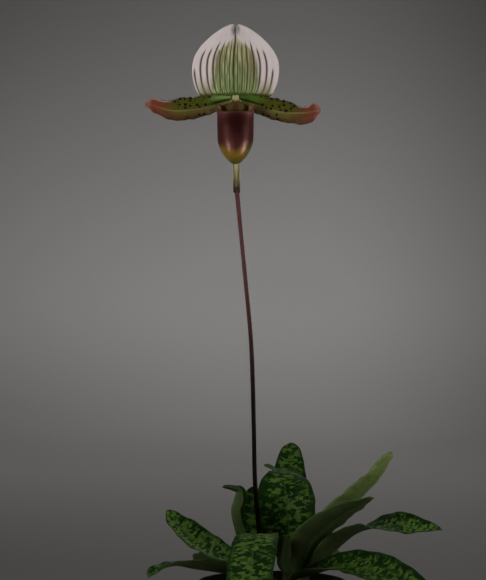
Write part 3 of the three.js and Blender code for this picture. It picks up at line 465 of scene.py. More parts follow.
class Shader:
    """A short way to write a node material. Colours are red, green and blue in thousandths."""

    def __init__(self, name, specular, **constants):
        self.material = bpy.data.materials.new(name)
        self.material.use_nodes = True
        self.tree = self.material.node_tree
        self.bsdf = next(n for n in self.tree.nodes if n.type == "BSDF_PRINCIPLED")
        for socket, value in dict(constants, Specular_IOR_Level=specular).items():
            self.feed(self.bsdf.inputs[socket.replace("_", " ")], value)

    def feed(self, socket, value):
        if isinstance(value, Wire):
            self.tree.links.new(value.socket, socket)
        elif socket.type == "RGBA":
            socket.default_value = (*(part / 1000 for part in value), 1)
        else:
            socket.default_value = value

    def node(self, kind, inputs, output=0, **settings):
        made = self.tree.nodes.new("ShaderNode" + kind)
        for key, value in settings.items():
            setattr(made, key, value)
        for key, value in inputs.items():
            self.feed(made.inputs[key], value)
        return Wire(self, made.outputs[output])

    def split(self, vector):
        """The three numbers of a vector."""
        return [Wire(self, output) for output in self.node("SeparateXYZ", {0: vector}).socket.node.outputs]

    def field(self, name):
        """The three numbers of a field of the mesh."""
        return self.split(self.node("Attribute", {}, 1, attribute_name=name))

    def join(self, *numbers):
        return self.node("CombineXYZ", dict(enumerate(numbers)))

    def noise(self, place, detail, scale=1, roughness=0.5):
        """Soft noise at a vector or at two or three numbers."""
        place = self.join(*place) if isinstance(place, tuple) else place
        return self.node("TexNoise", {"Vector": place, "Scale": scale, "Detail": detail,
                                      "Roughness": roughness})

    def cells(self, place, output=0):
        """The distance (output 0) or colour (1) of the nearest of many scattered points."""
        return self.node("TexVoronoi", {"Vector": self.join(*place), "Scale": 1}, output)

    def coats(self, colour, *coats):
        """A colour under coats, each of them its share and its colour."""
        for share, coat in coats:
            colour = self.node("Mix", {0: share, 6: colour, 7: coat}, 2, data_type="RGBA")
        return colour

    def bump(self, height, strength, distance):
        self.feed(self.bsdf.inputs["Normal"], self.node(
            "Bump", {"Strength": strength, "Distance": distance, "Height": height}))

    def done(self, colour, roughness):
        self.feed(self.bsdf.inputs["Base Color"], colour)
        self.feed(self.bsdf.inputs["Roughness"], roughness)
        return self.material


def leaf_material():
    """Tessellated green: pale blocks, wider than long, in rows across a dark blade.
    place: mm across, mm along, how much painted shade darkens the leaf; mark: tone of the underside, seed,
    how light the mottling is."""
    s = Shader("mottled_leaf", 0.1)
    x, y, depth = s.field("place")
    u, t, side = s.field("shape")
    tone, seed, light = s.field("mark")
    wobble = s.noise((x * 0.35, y * 0.35, seed), 3)
    cell = s.cells((x * 0.38 + wobble * 0.7, y * 0.62 + wobble * 0.9, seed), 1)
    block = s.node("SeparateColor", {0: cell})
    patch = s.noise((x * 0.14, y * 0.24, seed + 5), 2)
    band = s.noise((x * 0.03, y * 0.2, seed + 9), 1)
    fine = s.noise((x * 0.9, y * 1.5, seed), 2)
    pale = (block * 0.7 + patch * 0.45 + band * 0.4 + fine * 0.35 + light * 0.2).step(0.93, 1.2)
    pale = pale * abs(u).step(0.66, 0.96, 1, 0.15)
    groove = abs(x).fall(0.2, 0.8)
    veins = (x * 5.2).math("SINE")
    upper = s.coats(
        patch.mix((6, 30, 4), (16, 60, 9)),
        (pale, block.mix((75, 175, 22), (175, 315, 55))),
        (groove * 0.45, (120, 210, 45)))
    pale_back = s.coats(
        patch.mix((210, 300, 85), (320, 400, 130)),
        (t.fall(0.45, 0.8, 0.6), (190, 200, 95)),
        (t.step(0.9, 0.99, 0, 0.6), (90, 130, 40)))
    colour = s.coats(
        fine.mix((48, 90, 26), (80, 140, 42)),
        (tone, pale_back),
        (block.step(0.5, 0.8) * (tone * 0.25 + 0.06), (140, 250, 55)),
        (groove * 0.5, (200, 280, 110)),
        (veins.step(0.7, 1, 0, 0.16), (160, 240, 90)),
        (side, upper),
        (t.fall(0.04, 0.22, 0.75), (130, 180, 60)),
        (abs(u).step(0.975, 1, 0, 0.4), (150, 210, 100)),
        # painted shade: each leaf is darkened towards a near black green by its own share
        (depth, (2, 12, 1)))
    s.bump(veins * 0.1 + fine + pale * 0.2, 0.3, 0.0003)
    return s.done(colour, side.step(0, 1, 0.56, 0.42) + fine * 0.14)


def dorsal_material():
    """White with a green middle. shape: u; mark: number of the vein, height of its end, height."""
    s = Shader("dorsal_sepal", 0.1, Subsurface_Weight=0.1, Subsurface_Scale=0.002)
    x, y, _ = s.field("place")
    u, _, side = s.field("shape")
    number, top, z = s.field("mark")
    wide = abs(u)
    soft = s.noise((x * 0.12, y * 0.05), 2)
    flow = s.noise((x * 0.9, y * 0.12, 3), 3)
    streak = s.noise((x * 2.2, y * 0.1, 8), 2)
    off = abs(number - number.math("ROUND"))
    index = abs(number).math("ROUND")
    reach = (top - z).step(-1, 5)
    # the green middle, which turns yellow upwards and ends in a point on the midrib
    spread = z.step(8, 30, 0.6, 0.49) * z.step(28, 40, 1, 0.12) + (flow - 0.5) * 0.16
    inner = (wide - spread).fall(-0.09, 0.05) * (z + soft * 4).step(28, 46, 1, 0.45)
    beside = abs(wide - 0.4).fall(0.02, 0.1) * abs(z - 23).fall(3, 9, 0.65)
    centre = s.coats(
        streak.step(0.4, 0.62).mix((70, 120, 20), (440, 530, 250)),
        (u.step(-0.05, 0.1, 0, 0.45), (125, 190, 45)),
        (z.step(15, 31, 0, 0.9), streak.step(0.38, 0.62).mix((160, 135, 28), (560, 520, 250))),
        (beside, (150, 115, 35)))
    foot = (z + wide * 7).fall(7, 15, 0.8)
    glow = off.fall(0.04, 0.36) * reach * index.step(3.6, 6.5, 0.6, 0.3)
    side_foot = wide.step(0.5, 0.72) * (z + flow * 6).fall(8, 19, 0.75) * wide.step(0.84, 0.97, 1, 0.15)
    # thin lines halfway between the veins, in the green alone
    between = off.step(0.36, 0.5) * inner * z.fall(12, 30, 0.7)
    ground = s.coats(
        soft.mix((740, 650, 660), (820, 750, 730)),
        ((inner * 0.94).most(foot), centre),
        (glow, z.step(6, 16).mix((270, 270, 85), (480, 390, 260))),
        (side_foot, (270, 200, 100)),
        (between, (100, 160, 35)))
    width = reach.step(0, 1, 0.01, index.step(0.2, 0.8, 0.3, 0.15)) * z.step(3, 16, 0.75, 1)
    stripe = off.fall(width * 0.45, width * 1.45) * reach
    vein = s.coats(
        flow.mix((38, 70, 6), (75, 115, 14)),
        (index.step(2.2, 4.2) * z.step(7, 17), flow.mix((28, 7, 6), (90, 26, 26))),
        (abs(number).fall(0, 0.35) * z.step(8, 24), (22, 24, 2)))
    # painted shade: grey where the tip folds back between the two lobes
    tip = z.step(38, 41) * (wide - z.step(40, 45, 0, 0.3)).fall(0.1, 0.26, 0.8)
    front = s.coats(
        ground,
        (stripe * index.step(0.5, 3.5, 0.96, 0.9), vein),
        # painted shade: dark green along the foot, in the gap above the petals
        ((z + wide * 1.2).fall(4.2, 6.2, 0.85), (35, 65, 8)),
        (tip, (340, 320, 340)))
    back = s.coats(ground, (stripe * 0.27, vein))
    s.bump(stripe * -0.6 + flow * 0.5, 0.4, 0.0003)
    return s.done(side.mix(back, front), flow.step(0.3, 0.7, 0.5, 0.6))


def petal_material():
    """Green, then olive, then copper red. shape: u (1 at the upper margin), t;
    mark: 1 on a wart, its dark halo, -1 on the left petal and 1 on the right one."""
    s = Shader("petal", 0.1, Subsurface_Weight=0.05, Subsurface_Scale=0.002)
    x, y, _ = s.field("place")
    u, t, side = s.field("shape")
    wart, halo, seed = s.field("mark")
    soft = s.noise((x * 0.2, y * 0.12, seed), 2)
    flow = s.noise((x * 1.6, y * 0.16, seed), 3)
    out = t + (soft - 0.5) * 0.16
    lower = u.fall(-0.12, 0.08)
    brown = flow.mix((85, 38, 10), (170, 75, 28))
    copper = flow.mix((130, 26, 12), (270, 70, 36))
    red = (out + u.fall(-1, 0.4, 0.1)).step(0.57, 0.72)
    rim = (u + soft * 0.2).step(0.78, 1) * t.step(0.6, 0.72, 0, 0.85)
    # close to the column a dark crease of painted shade, with a pale strip of painted highlight above it,
    # mostly on the left petal
    strip = abs(u - 0.66).fall(0.1, 0.34) * t.fall(0.12, 0.32) * seed.step(-0.5, 0.5, 0.9, 0.12)
    painted_crease_shade = abs(u - 0.16).fall(0.05, 0.2, 0.9) * t.fall(0.2, 0.34)
    # painted highlight: a pale line along the ridge, fainter towards the tip
    ridge = abs(u + 0.1).fall(0.02, 0.14) * t.step(0.26, 0.36)
    lines = (u * 26 + flow * 2).math("SINE").step(0.55, 1, 0, 0.35)
    colour = s.coats(
        flow.mix((35, 85, 4), (85, 165, 12)),
        (out.step(0.2, 0.36), flow.mix((50, 55, 4), (115, 110, 14))),
        (lower * t.step(0.1, 0.28), flow.mix((85, 65, 12), (175, 145, 35))),
        # the lower half's own pale tan near the base, lifted with painted light where the pouch shades it
        (lower * t.fall(0.28, 0.48, 0.75), (260, 210, 85)),
        (u.step(-0.45, -0.95) * t.step(0.24, 0.44, 0.12, 0.85), (85, 36, 14)),
        (red, out.step(0.66, 0.82).mix(brown, copper)),
        (u.step(-0.5, -0.95) * t.step(0.5, 0.7, 0, 0.7), (85, 18, 14)),
        (out.step(0.87, 0.97), flow.mix((240, 60, 50), (400, 150, 120))),
        (rim.most(abs(u).step(0.62, 0.95) * t.step(0.86, 0.96, 0, 0.85)), (500, 260, 240)),
        (strip, (270, 350, 120)),
        (painted_crease_shade, (10, 22, 1)),
        (ridge * t.step(0.6, 0.9, 0.6, 0.25), (230, 220, 60)),
        (lines, (30, 26, 4)),
        (side * -0.5 + 0.5, (170, 130, 50)),
        (wart.most(halo.step(0.3, 0.65)), (4, 1, 1)))
    s.bump(flow * 0.6 + lines * -0.6, 0.4, 0.0003)
    return s.done(colour, flow.step(0.3, 0.7, 0.42, 0.54))


def pouch_material():
    """Dark maroon with an olive toe. shape: 0, share of the height, 1 outside; mark: x, height, y."""
    s = Shader("pouch", 0.3, Specular_Tint=(1000, 620, 500))
    _, t, outside = s.field("shape")
    x, z, y = s.field("mark")
    wide = abs(x)
    soft = s.noise((x * 0.22, z * 0.1, y * 0.22), 3)
    net = s.noise((x * 0.8, z * 0.28, y * 0.8), 3)
    toe = s.coats(
        soft.mix((150, 78, 7), (340, 210, 22)),
        ((z + wide * 0.35).fall(-37, -34.5, 0.8).most(x.step(3, 8) * z.fall(-27, -22, 0.8)),
         (95, 135, 22)))
    spots = s.cells((x * 0.62, z * 0.62, y * 0.62)).fall(0.16, 0.34, 0.85)
    inner = s.coats(
        net.mix((140, 75, 22), (260, 170, 55)),
        (spots, (50, 8, 10)),
        # painted shade: the inside darkens deeper down
        (z.fall(-30, -9, 0.8), (60, 25, 10)))
    outer = s.coats(
        soft.mix((14, 1.2, 1.8), (36, 4.2, 5.2)),
        # lighter maroon on the flanks and low down: partly own colour, partly painted sheen under the
        # highlights
        (wide.step(3, 9.5).most(z.step(-17, -27)) * 0.6, (75, 20, 21)),
        # the upper corners' own magenta, with a painted highlight on the flare
        (z.step(-14, -5) * wide.step(7.5, 11, 0, 0.8), (170, 40, 70)),
        ((z + (soft - 0.5) * 9 - abs(x + 0.5) * 0.4).fall(-35, -29), toe),
        (y.step(-6, 1, 0, 0.35), (150, 100, 25)),
        (abs(net - 0.5).fall(0, 0.045, 0.35), (22, 3, 4)))
    colour = s.coats(inner, (outside, outer), (t.step(0.972, 0.995, 0, 0.5), (100, 35, 25)))
    s.bump(net + soft * 0.5, 0.22, 0.0004)
    return s.done(colour, z.step(-12.5, -8.5, 0, 0.25) + net.step(0.3, 0.7, 0.3, 0.38))


def shield_material():
    """Cream upper lobes above an olive-brown plate with a dark spot. mark: x and z from the middle."""
    s = Shader("staminode", 0.15)
    x, z, _ = s.field("mark")
    flow = s.noise((x * 0.9, z * 0.5), 3)
    low = (z - abs(x) * 0.3).fall(-1.6, 0.2)
    plate = abs(x).fall(0.8, 2.6).mix(flow.mix((48, 32, 8), (105, 74, 21)),
                                      flow.mix((46, 14, 6), (90, 40, 14)))
    spot = s.node("VectorMath", {0: s.join(x, z), 1: (-0.5, -4.2, 0)}, 1, operation="DISTANCE")
    net = abs(s.noise((x * 1.1, z * 1.1, 2), 2) - 0.5).fall(0, 0.05, 0.45)
    colour = s.coats(
        flow.mix((290, 290, 120), (480, 460, 240)),
        (low, plate),
        (spot.fall(0.5, 1.3, 0.85), (35, 20, 4)),
        (net * low, (90, 100, 15)))
    s.bump(flow, 0.3, 0.0003)
    return s.done(colour, flow.step(0.3, 0.7, 0.4, 0.5))


def stalk_material(name, low, high, change, streak, hair):
    """A stalk whose colour goes from low to high over change, with streaks; mark: 1 on a hair."""
    s = Shader(name, 0.08)
    _, y, _ = s.field("place")
    u, t, _ = s.field("shape")
    is_hair, _, _ = s.field("mark")
    flow = s.noise((u * 5, y * 0.16), 3)
    fleck = s.noise((u * 7, y * 0.9, 4), 2)
    colour = s.coats(
        (t + (flow - 0.5) * 0.25).step(*change).mix(low, high),
        (flow.step(0.45, 0.72, 0, 0.55), streak),
        (fleck.step(0.58, 0.72, 0, 0.35), streak),
        (is_hair * t.step(change[0] - 0.3, change[1], 0.15, 1), hair))
    s.bump(flow + fleck, 0.4, 0.0002)
    return s.done(colour, flow.step(0.3, 0.7, 0.5, 0.66))


def synsepal_material():
    """Greenish white with green veins that run along. shape: u, t."""
    s = Shader("synsepal", 0.35, Sheen_Weight=0.15, Sheen_Roughness=0.5)
    x, y, _ = s.field("place")
    u, t, _ = s.field("shape")
    flow = s.noise((x * 1.2, y * 0.15), 3)
    lines = (u * 25 + flow).math("COSINE").step(0.45, 0.95, 0, 0.8)
    ground = flow.mix((420, 500, 240), (660, 680, 460))
    s.bump(flow + lines, 0.3, 0.0003)
    return s.done((lines * t.step(0.9, 0.7)).mix(ground, (140, 220, 50)), flow.step(0.3, 0.7, 0.45, 0.6))


def bark_material():
    """Fir bark: brown chips of differing tones, with a layered grain. mark: two random numbers."""
    s = Shader("fir_bark", 0.25)
    x, y, z = s.field("place")
    a, b, _ = s.field("mark")
    grain = s.noise((x * 0.35, y * 1.4, z + a * 40), 4, roughness=0.65)
    layer = s.noise((x * 0.2, y * 0.2, z * 2.6), 3)
    tone = s.coats(a.mix((30, 15, 8), (115, 55, 24)),
                   (b.step(0.7, 1, 0, 0.5), (170, 100, 55)))
    colour = s.coats(tone, (grain.fall(0.35, 0.7, 0.55), (10, 6, 4)),
                     (layer.step(0.55, 0.75, 0, 0.4), (140, 75, 35)))
    s.bump(grain + layer, 0.8, 0.0008)
    return s.done(colour, grain.step(0.3, 0.7, 0.75, 0.95))


def root_material():
    """Felted brown, paler at the tip of each root. shape: u, t."""
    s = Shader("roots", 0.25, Sheen_Weight=0.3, Sheen_Roughness=0.6)
    _, y, _ = s.field("place")
    u, t, _ = s.field("shape")
    flow = s.noise((u * 3, y * 0.4), 4, roughness=0.6)
    colour = t.step(0.93, 1).mix(flow.mix((100, 55, 22), (260, 170, 80)), (300, 300, 120))
    s.bump(flow, 0.6, 0.0004)
    return s.done(colour, flow.step(0.3, 0.7, 0.7, 0.9))


def pot_material():
    """Dark moulded plastic, a little dusty in streaks, and paler towards the rim."""
    s = Shader("moulded_plastic", 0.45)
    where = s.node("TexCoord", {}, 3)
    x, y, z = s.split(where)
    cloud = s.noise(where, 4, 38, 0.55)
    streak = s.noise((x * 160, y * 160, z * 9), 3)
    colour = s.coats(
        cloud.mix((7.5, 6.8, 5.5), (16, 14.5, 11.5)),
        (streak.step(0.58, 0.8, 0, 0.28), (55, 52, 45)),
        (z.step(0.0705, 0.0795, 0, 0.22), (70, 66, 55)))
    s.bump(s.noise(where, 2, 900) + cloud * 0.4, 0.18, 0.0003)
    return s.done(colour, (cloud + streak * 0.5).step(0.5, 1, 0.36, 0.56))


def paper_material():
    """The studio's paper, with painted shade: its tone falls off towards its edges."""
    s = Shader("paper", 0.1, Roughness=0.9)
    where = s.node("TexCoord", {}, 3)
    x, y, z = s.split(where)
    far = s.node("VectorMath", {0: s.join(x, y)}, 1, operation="LENGTH")
    # painted shade: darker on the floor near the middle, low and high on the wall, and towards the sides, the
    # right side most
    tone = far.step(1, 2.3, 0.72, 1) * z.step(0.25, 1.1, 1, 0.46) * z.step(0, 0.25, 0.76, 1)
    tone = tone * (x.step(-0.75, 0.1, 0.86, 1) * x.step(0.1, 0.75, 1, 0.5)) + s.noise(where, 2, 1.2) * 0.05
    # a soft glow all round, save behind the plant, where lamps light the paper
    away = y.math("DIVIDE", far.most(0.01)).fall(0.8, 0.93)
    shine = far.step(0.25, 0.85, 0, 0.11) * z.step(0.5, 1.8, 1, 0.4)
    s.feed(s.bsdf.inputs["Emission Strength"], away * shine)
    s.feed(s.bsdf.inputs["Base Color"], tone.mix((0, 0, 0), (710, 685, 660)))
    return s.material


# ---- leaves
def polar(azimuth):
    return math.cos(math.radians(azimuth)), math.sin(math.radians(azimuth))


def leaf_rows(growth, azimuth, nest, curl, stations):
    """The stations of a leaf, after two that wrap its foot round the growth."""
    x, y = GROWTHS[growth]
    dx, dy = polar(azimuth)
    radius = SHEATH["core"] + SHEATH["clearance"] + nest * (SHEATH["thickness"] + SHEATH["clearance"])
    half = radius * math.radians(curl)
    rows = [[x + radius * dx, y + radius * dy, z, half, curl, -dx, -dy, 0]
            for z in (BASE_Z, SHEATH["top"] - nest * SHEATH["step"])]
    for station in stations:
        rows.append(station + rows[-1][len(station):])
    return rows


def leaf_surface(rows):
    def surface(u, t):
        s = spline(rows, t)
        tangent = heading(rows, t, 0.004)
        facing = square(s[..., 5:8], tangent)
        bend = np.radians(np.where(np.abs(s[..., 4]) < 0.5, 0.5, s[..., 4]))
        # the tip is rounded over the last 0.22 of a station
        left = np.clip((1 - t) * (len(rows) - 1) / 0.22, 0, 1)
        radius = s[..., 3] * np.sqrt(np.maximum(1 - (1 - left) ** 2, 0.002)) / bend
        across = (radius * np.sin(u * bend))[..., None]
        rise = (radius * (1 - np.cos(u * bend)))[..., None]
        return s[..., :3] + np.cross(tangent, facing) * across + facing * rise

    return surface


def leaf_relief(seed):
    """Waved margins, a slight swell between them, and the channel along the midrib."""
    phase = np.random.default_rng(seed).uniform(0, 2 * math.pi, 6)

    def relief(u, t, across, along):
        side = np.where(u < 0, phase[0], phase[1])
        margin = np.abs(u) ** 3 * (0.42 * np.sin(along / 3.1 + side) + 0.3 * np.sin(along / 1.7 + 2 * side))
        swell = 0.25 * np.sin(across / 2.6 + phase[2]) * np.sin(along / 5.3 + phase[3])
        channel = 0.42 * bell(across, 0.7) * smooth(0.15, 0.3, t)
        return smooth(0.25, 0.5, t) * (margin + swell * (1 - np.abs(u))) - channel

    return relief


def leaf_thickness(u, t, across, along):
    keel = 0.7 * smooth(0.2, 0.35, t) * bell(across, 1.1) * (1 - 0.8 * smooth(0.8, 1, t))
    return 0.34 + 0.6 * lens(u) * (1 - 0.5 * smooth(0.9, 1, t)) + keel


LEAF = leaf_material()
leaves = []
for seed, (name, (*foot, tone, painted_shade, light, stations)) in enumerate(LEAVES.items()):
    rows = leaf_rows(*foot, stations)
    made = blade(leaf_surface(rows), leaf_thickness, 26, 14 * (len(rows) - 1), leaf_relief(seed),
                 (tone, 1.7 * seed + 0.4, light))
    # the share of painted shade on this leaf, which the material reads
    made["place"][:, 2] = painted_shade
    leaves.append(made)
    piece(name + "_fine", [made], LEAF, name)

# ---- flower stalk, ovary and bract
rng = np.random.default_rng(5)


def rod_hairs(stations, count, length, radius, *span):
    """Hairs all round a rod, over its span of t."""
    t = rng.uniform(*span, count)
    centre = spline(stations, t)
    tangent = heading(stations, t)
    out = square(rng.normal(size=(count, 3)), tangent)
    return hairs(centre[:, :3] + out * centre[:, 3:], out + 0.25 * tangent,
                 rng.uniform(0.6, 1, count) * length, radius, (1, 0, 0), 0.1)


piece("stalk", [rod(SCAPE, 20, 150), rod_hairs(SCAPE, 1500, 0.75, 0.055, 0.08, 1)],
      stalk_material("scape_skin", (5, 2.5, 1.5), (120, 45, 45), (0.48, 0.9),
                     (12, 5, 4), (160, 85, 75)), "scape")
piece("seed_vessel", [rod(OVARY, 36, 60, ribs=6, relief=0.13), rod_hairs(OVARY, 900, 0.55, 0.05, 0.02, 0.8)],
      stalk_material("ovary_skin", (160, 110, 60), (440, 420, 220), (0, 0.16),
                     (200, 180, 70), (500, 480, 340)), "ovary")


def bract_surface(u, t):
    x, y, z, radius, half = at(BRACT, t)
    return xyz(x, y, 0) + ring(radius - 0.25, math.pi / 2 + u * np.radians(half), z)


def thin(base, swell=0.42):
    return lambda u, t, across, along: base + swell * lens(u)


bract = blade(bract_surface, thin(0.2, 0.2), 30, 48,
              lambda u, t, across, along: -0.05 * np.abs(np.sin(u * 9)))
rim = rng.choice(np.nonzero(np.abs(bract["shape"][:, 0]) > 0.97)[0], 160)
fringe = hairs(bract["points"][rim], bract["normals"][rim] + [0, 0, 0.6], rng.uniform(0.4, 0.8, 160), 0.045,
               (1, 0, 0))
piece("bract_fine", [bract, fringe],
      stalk_material("bract_skin", (28, 14, 10), (400, 360, 200), (0.14, 0.36),
                     (130, 100, 40), (400, 360, 260)), "bract")

# ---- sepals
# Places of the veins on each half, from the midrib out, and the heights at which they end.
VEINS = [0, 0.09, 0.2, 0.32, 0.475, 0.61, 0.765, 0.9, 1.05]
VEIN_TOPS = np.array([60, 37, 36, 36.5, 36.5, 33, 32, 21, 11])


def vein_number(u):
    return np.sign(u) * np.interp(np.abs(u), VEINS, range(len(VEINS)))


def dorsal_surface(u, t):
    z, half, y = at(DORSAL, t)
    drop = 3.2 * u * u * (1 - smooth(3, 12, z))
    fold = 1.6 * bell(u, 0.16) * smooth(6, 40, z)
    notch = 1.8 * bell(u, 0.35) * smooth(41, 45, z)
    lobes = 1.8 * np.sin(math.pi * np.minimum(np.abs(u), 1)) * smooth(8, 30, z)
    cup = 2.2 * u * u * smooth(3, 14, z) * (1 - 0.8 * smooth(24, 42, z))
    return FLOWER + xyz(u * half, y + fold - lobes - cup, z - drop - notch)


def dorsal_relief(u, t, across, along):
    off = vein_number(u) - np.round(vein_number(u))
    margin = np.abs(u) ** 4 * (0.25 * np.sin(along / 1.9) + 0.18 * np.sin(along / 3.3 + 1))
    return margin * smooth(0.1, 0.3, t) - 0.07 * bell(off, 0.16)


dorsal = blade(dorsal_surface, thin(0.26), 150, 120, dorsal_relief)
height = dorsal["points"][:, 2] - FLOWER[2]
number = vein_number(dorsal["shape"][:, 0] + 0.045 * (1 - smooth(26, 40, height)))
dorsal["mark"] = xyz(number, VEIN_TOPS[np.round(np.abs(number)).astype(int)], height)
piece("dorsal_sepal_fine", [dorsal], dorsal_material(), "dorsal_sepal")


def synsepal_surface(u, t):
    z, half, y = at(SYNSEPAL, t)
    return FLOWER + xyz(-u * half, y - 2.4 * u * u, z)


synsepal = blade(synsepal_surface, thin(0.26), 40, 60,
                 lambda u, t, across, along: 0.15 * np.abs(u) ** 3 * np.sin(along / 1.8))
piece("synsepal_fine", [synsepal], synsepal_material(), "synsepal")


# ---- petals
def petal_surface(side, stations):
    def surface(u, t):
        x, y, top, ridge, bottom, curl = at(stations, t)
        across = side * u
        z = ridge + across * np.where(across < 0, ridge - top, bottom - ridge)
        return FLOWER + xyz(side * x, y - TEPAL_THICKNESS + curl * (u * u - 0.5), z)

    return surface


def petal_relief(u, t, across, along):
    crisp = np.abs(u) ** 3 * (0.32 * np.sin(along / 1.5 + u) + 0.2 * np.sin(along / 0.83 + 2 * u))
    ridge = 0.22 * bell(u, 0.07) * smooth(0.05, 0.2, t)
    return crisp * smooth(0.08, 0.3, t) * (1 - 0.5 * smooth(0.6, 0.9, t)) + ridge


PETAL = petal_material()
# Finer warts of both petals, scattered: u, t, radius.
FINE_WARTS = [
    [0.95, 0.42, 0.4], [0.86, 0.33, 0.35], [0.72, 0.42, 0.38], [0.6, 0.35, 0.34], [0.66, 0.56, 0.4],
    [0.5, 0.44, 0.32], [0.2, 0.56, 0.36], [-0.2, 0.34, 0.3], [-0.5, 0.27, 0.32], [0.45, 0.26, 0.3],
]
for name, (side, stations) in PETALS.items():
    surface = petal_surface(side, stations)
    body = blade(surface, thin(0.28), 44, 150, petal_relief)
    body["shape"][:, 0] *= -side
    warts = np.array(WARTS[name] + FINE_WARTS)
    u, t = -side * warts[:, 0], warts[:, 1]
    places = surface(u, t)
    e = 1e-3
    outward = unit(np.cross(surface(u + e, t) - surface(u - e, t), surface(u, t + e) - surface(u, t - e)))
    outward *= np.sign(-outward[:, 1:2])
    distance = np.linalg.norm(body["points"][:, None] - places, axis=2) / warts[:, 2]
    body["mark"] = xyz(0, bell(distance, 1.25).max(1), side)
    parts = [body]
    for place, normal, (wu, wt, radius), turn in zip(places, outward, warts, rng.uniform(0, 3, len(warts))):
        a = unit(np.cross(normal, [math.cos(turn), 0.2, math.sin(turn)]))
        parts.append(bead(place, [a, np.cross(normal, a), normal], [radius, 0.85 * radius, 0.75 * radius],
                          (1, 1, side), (wu, wt, 1)))
        # the warts on the upper margin bear more and longer hairs
        count, length = (4, 1.9) if wu > 0.8 else (1, 0.7)
        aim = normal + rng.normal(scale=0.45, size=(count, 3))
        reach = length * radius * rng.uniform(0.7, 1.1, count)
        parts.append(hairs(place + 0.6 * radius * unit(aim), aim, reach, 0.07, (1, 1, side)))
    # a fringe on the upper margin, and a thinner one on the lower
    for margin, count, length in ((1, 90, 1), (-1, 50, 0.6)):
        roots = surface(-margin * side, rng.uniform(0.08, 0.8, count))
        aim = xyz(rng.normal(scale=0.25, size=count), rng.normal(scale=0.3, size=count) - 0.2, margin)
        parts.append(hairs(roots, aim, length * rng.uniform(0.6, 1.2, count), 0.05, (1, 1, side)))
    piece(name + "_fine", parts, PETAL, name)


# ---- pouch
def pouch_ring(share, inset, lift):
    """A ring at a share of the pouch's height, drawn in by inset and raised by lift."""
    z, y, half_width, half_depth = at(POUCH, share)
    across, back, _ = ring(1, around(SIDES), 0).T
    mouth = 4.8 * smooth(-0.75, 0.15, back) + smooth(0.75, 0.93, back) - 0.45 * smooth(0.95, 1, back)
    seam = 0.25 * bell(across, 0.1) * (back < 0) * smooth(0.1, 0.3, share) * (1 - smooth(0.6, 0.9, share))
    return xyz(max(half_width - inset, 0.3) * across, y + max(half_depth - inset, 0.3) * back - seam,
               z + mouth * smooth(0.7, 1, share) + lift)


# Layers from the toe up the outside, over the rim and down the inside: share, inset, lift, 1 outside.
shares = np.linspace(0, 1, 65)
layers = [(share, -0.35 * smooth(0.965, 1, share), 0, 1) for share in shares]
layers += [(1, -0.05, 0.22, 1), (1, 0.5, 0.22, 1)]
layers += [(share, POUCH_WALL, 0, 0) for share in shares[:4:-1]]
rings = np.array([pouch_ring(*layer[:3]) for layer in layers])
shape = [[(0, share, outside)] * SIDES for share, _, _, outside in layers]
piece("slipper", [loft(rings + FLOWER, 0, shape, rings[..., [0, 2, 1]])], pouch_material(), "pouch")


# ---- column and staminode
def bezier(a, b, c, d):
    """Points along a curve, without its end."""
    t = np.linspace(0, 1, 12, endpoint=False)[:, None]
    return a * (1 - t) ** 3 + 3 * b * t * (1 - t) ** 2 + 3 * c * t * t * (1 - t) + d * t ** 3


right = np.vstack([*(bezier(*STAMINODE[k:k + 4]) for k in range(0, len(STAMINODE) - 1, 3)), STAMINODE[-1]])
outline = np.vstack([right, right[-2:0:-1] * [-1, 1]])
hub = np.array([0, -2.4])
rings = []
# Size of each ring about the hub, and how far forward it lies, from back to front.
for scale, forward in [(0.02, 0), (0.5, 0), (0.93, 0.05), (1, 0.3), (1, 0.65), (0.95, 0.98), (0.86, 1),
                       (0.7, 0.9), (0.5, 0.78), (0.3, 0.8), (0.15, 0.92), (0.03, 1)]:
    x, z = (hub + (outline - hub) * scale).T
    rings.append(xyz(x, COLUMN["front"] - COLUMN["thickness"] * forward, z))
rings = np.array(rings)
GREEN = (0, 2.5, 0)
stem = [[*(FLOWER + [0, y, 0]), COLUMN["radius"] * share]
        for y, share in ((COLUMN["back"], 1), (-1, 0.95), (COLUMN["front"], 0.9))]
knobs = [bead(FLOWER + [x, -2.2, -0.6], np.eye(3), [0.75, 0.9, 0.75], GREEN) for x in (-2.6, 2.6)]
piece("staminode", [loft(rings + FLOWER, 0, 0, rings[..., [0, 2, 1]]), rod(stem, 28, 14, mark=GREEN), *knobs],
      shield_material(), "column")

# ---- pot
SHOULDER = POT["rim"] - POT["step"] - POT["wall"]
FOOT = POT["base"] - POT["wall"]


def inner_radius(z):
    return FOOT + (SHOULDER - FOOT) * (z - POT["floor"]) / (POT["height"] - POT["band"] - POT["floor"])


def pot_profile():
    """The outline of the pot's half section, from the middle of the foot, with rounded corners."""
    height, base, rim, wall, floor, band, _, edge = POT.values()
    corners = np.array([
        (0, 0), (base - edge, 0), (base, edge), (SHOULDER + wall, height - band),
        (rim - edge / 2, height - band), (rim, height - edge), (rim - edge, height), (rim - wall, height),
        (rim - wall - edge, height - 2 * band / 3), (SHOULDER, height - band), (FOOT, floor), (0, floor),
    ])
    made = []
    for a, b, c in zip(corners, corners[1:], corners[2:]):
        r = min(0.5, 0.45 * np.linalg.norm(a - b), 0.45 * np.linalg.norm(c - b))
        p, q = b + unit(a - b) * r, b + unit(c - b) * r
        made += [p * (1 - k) ** 2 + 2 * b * k * (1 - k) + q * k * k for k in np.linspace(0, 1, 5)]
    return made


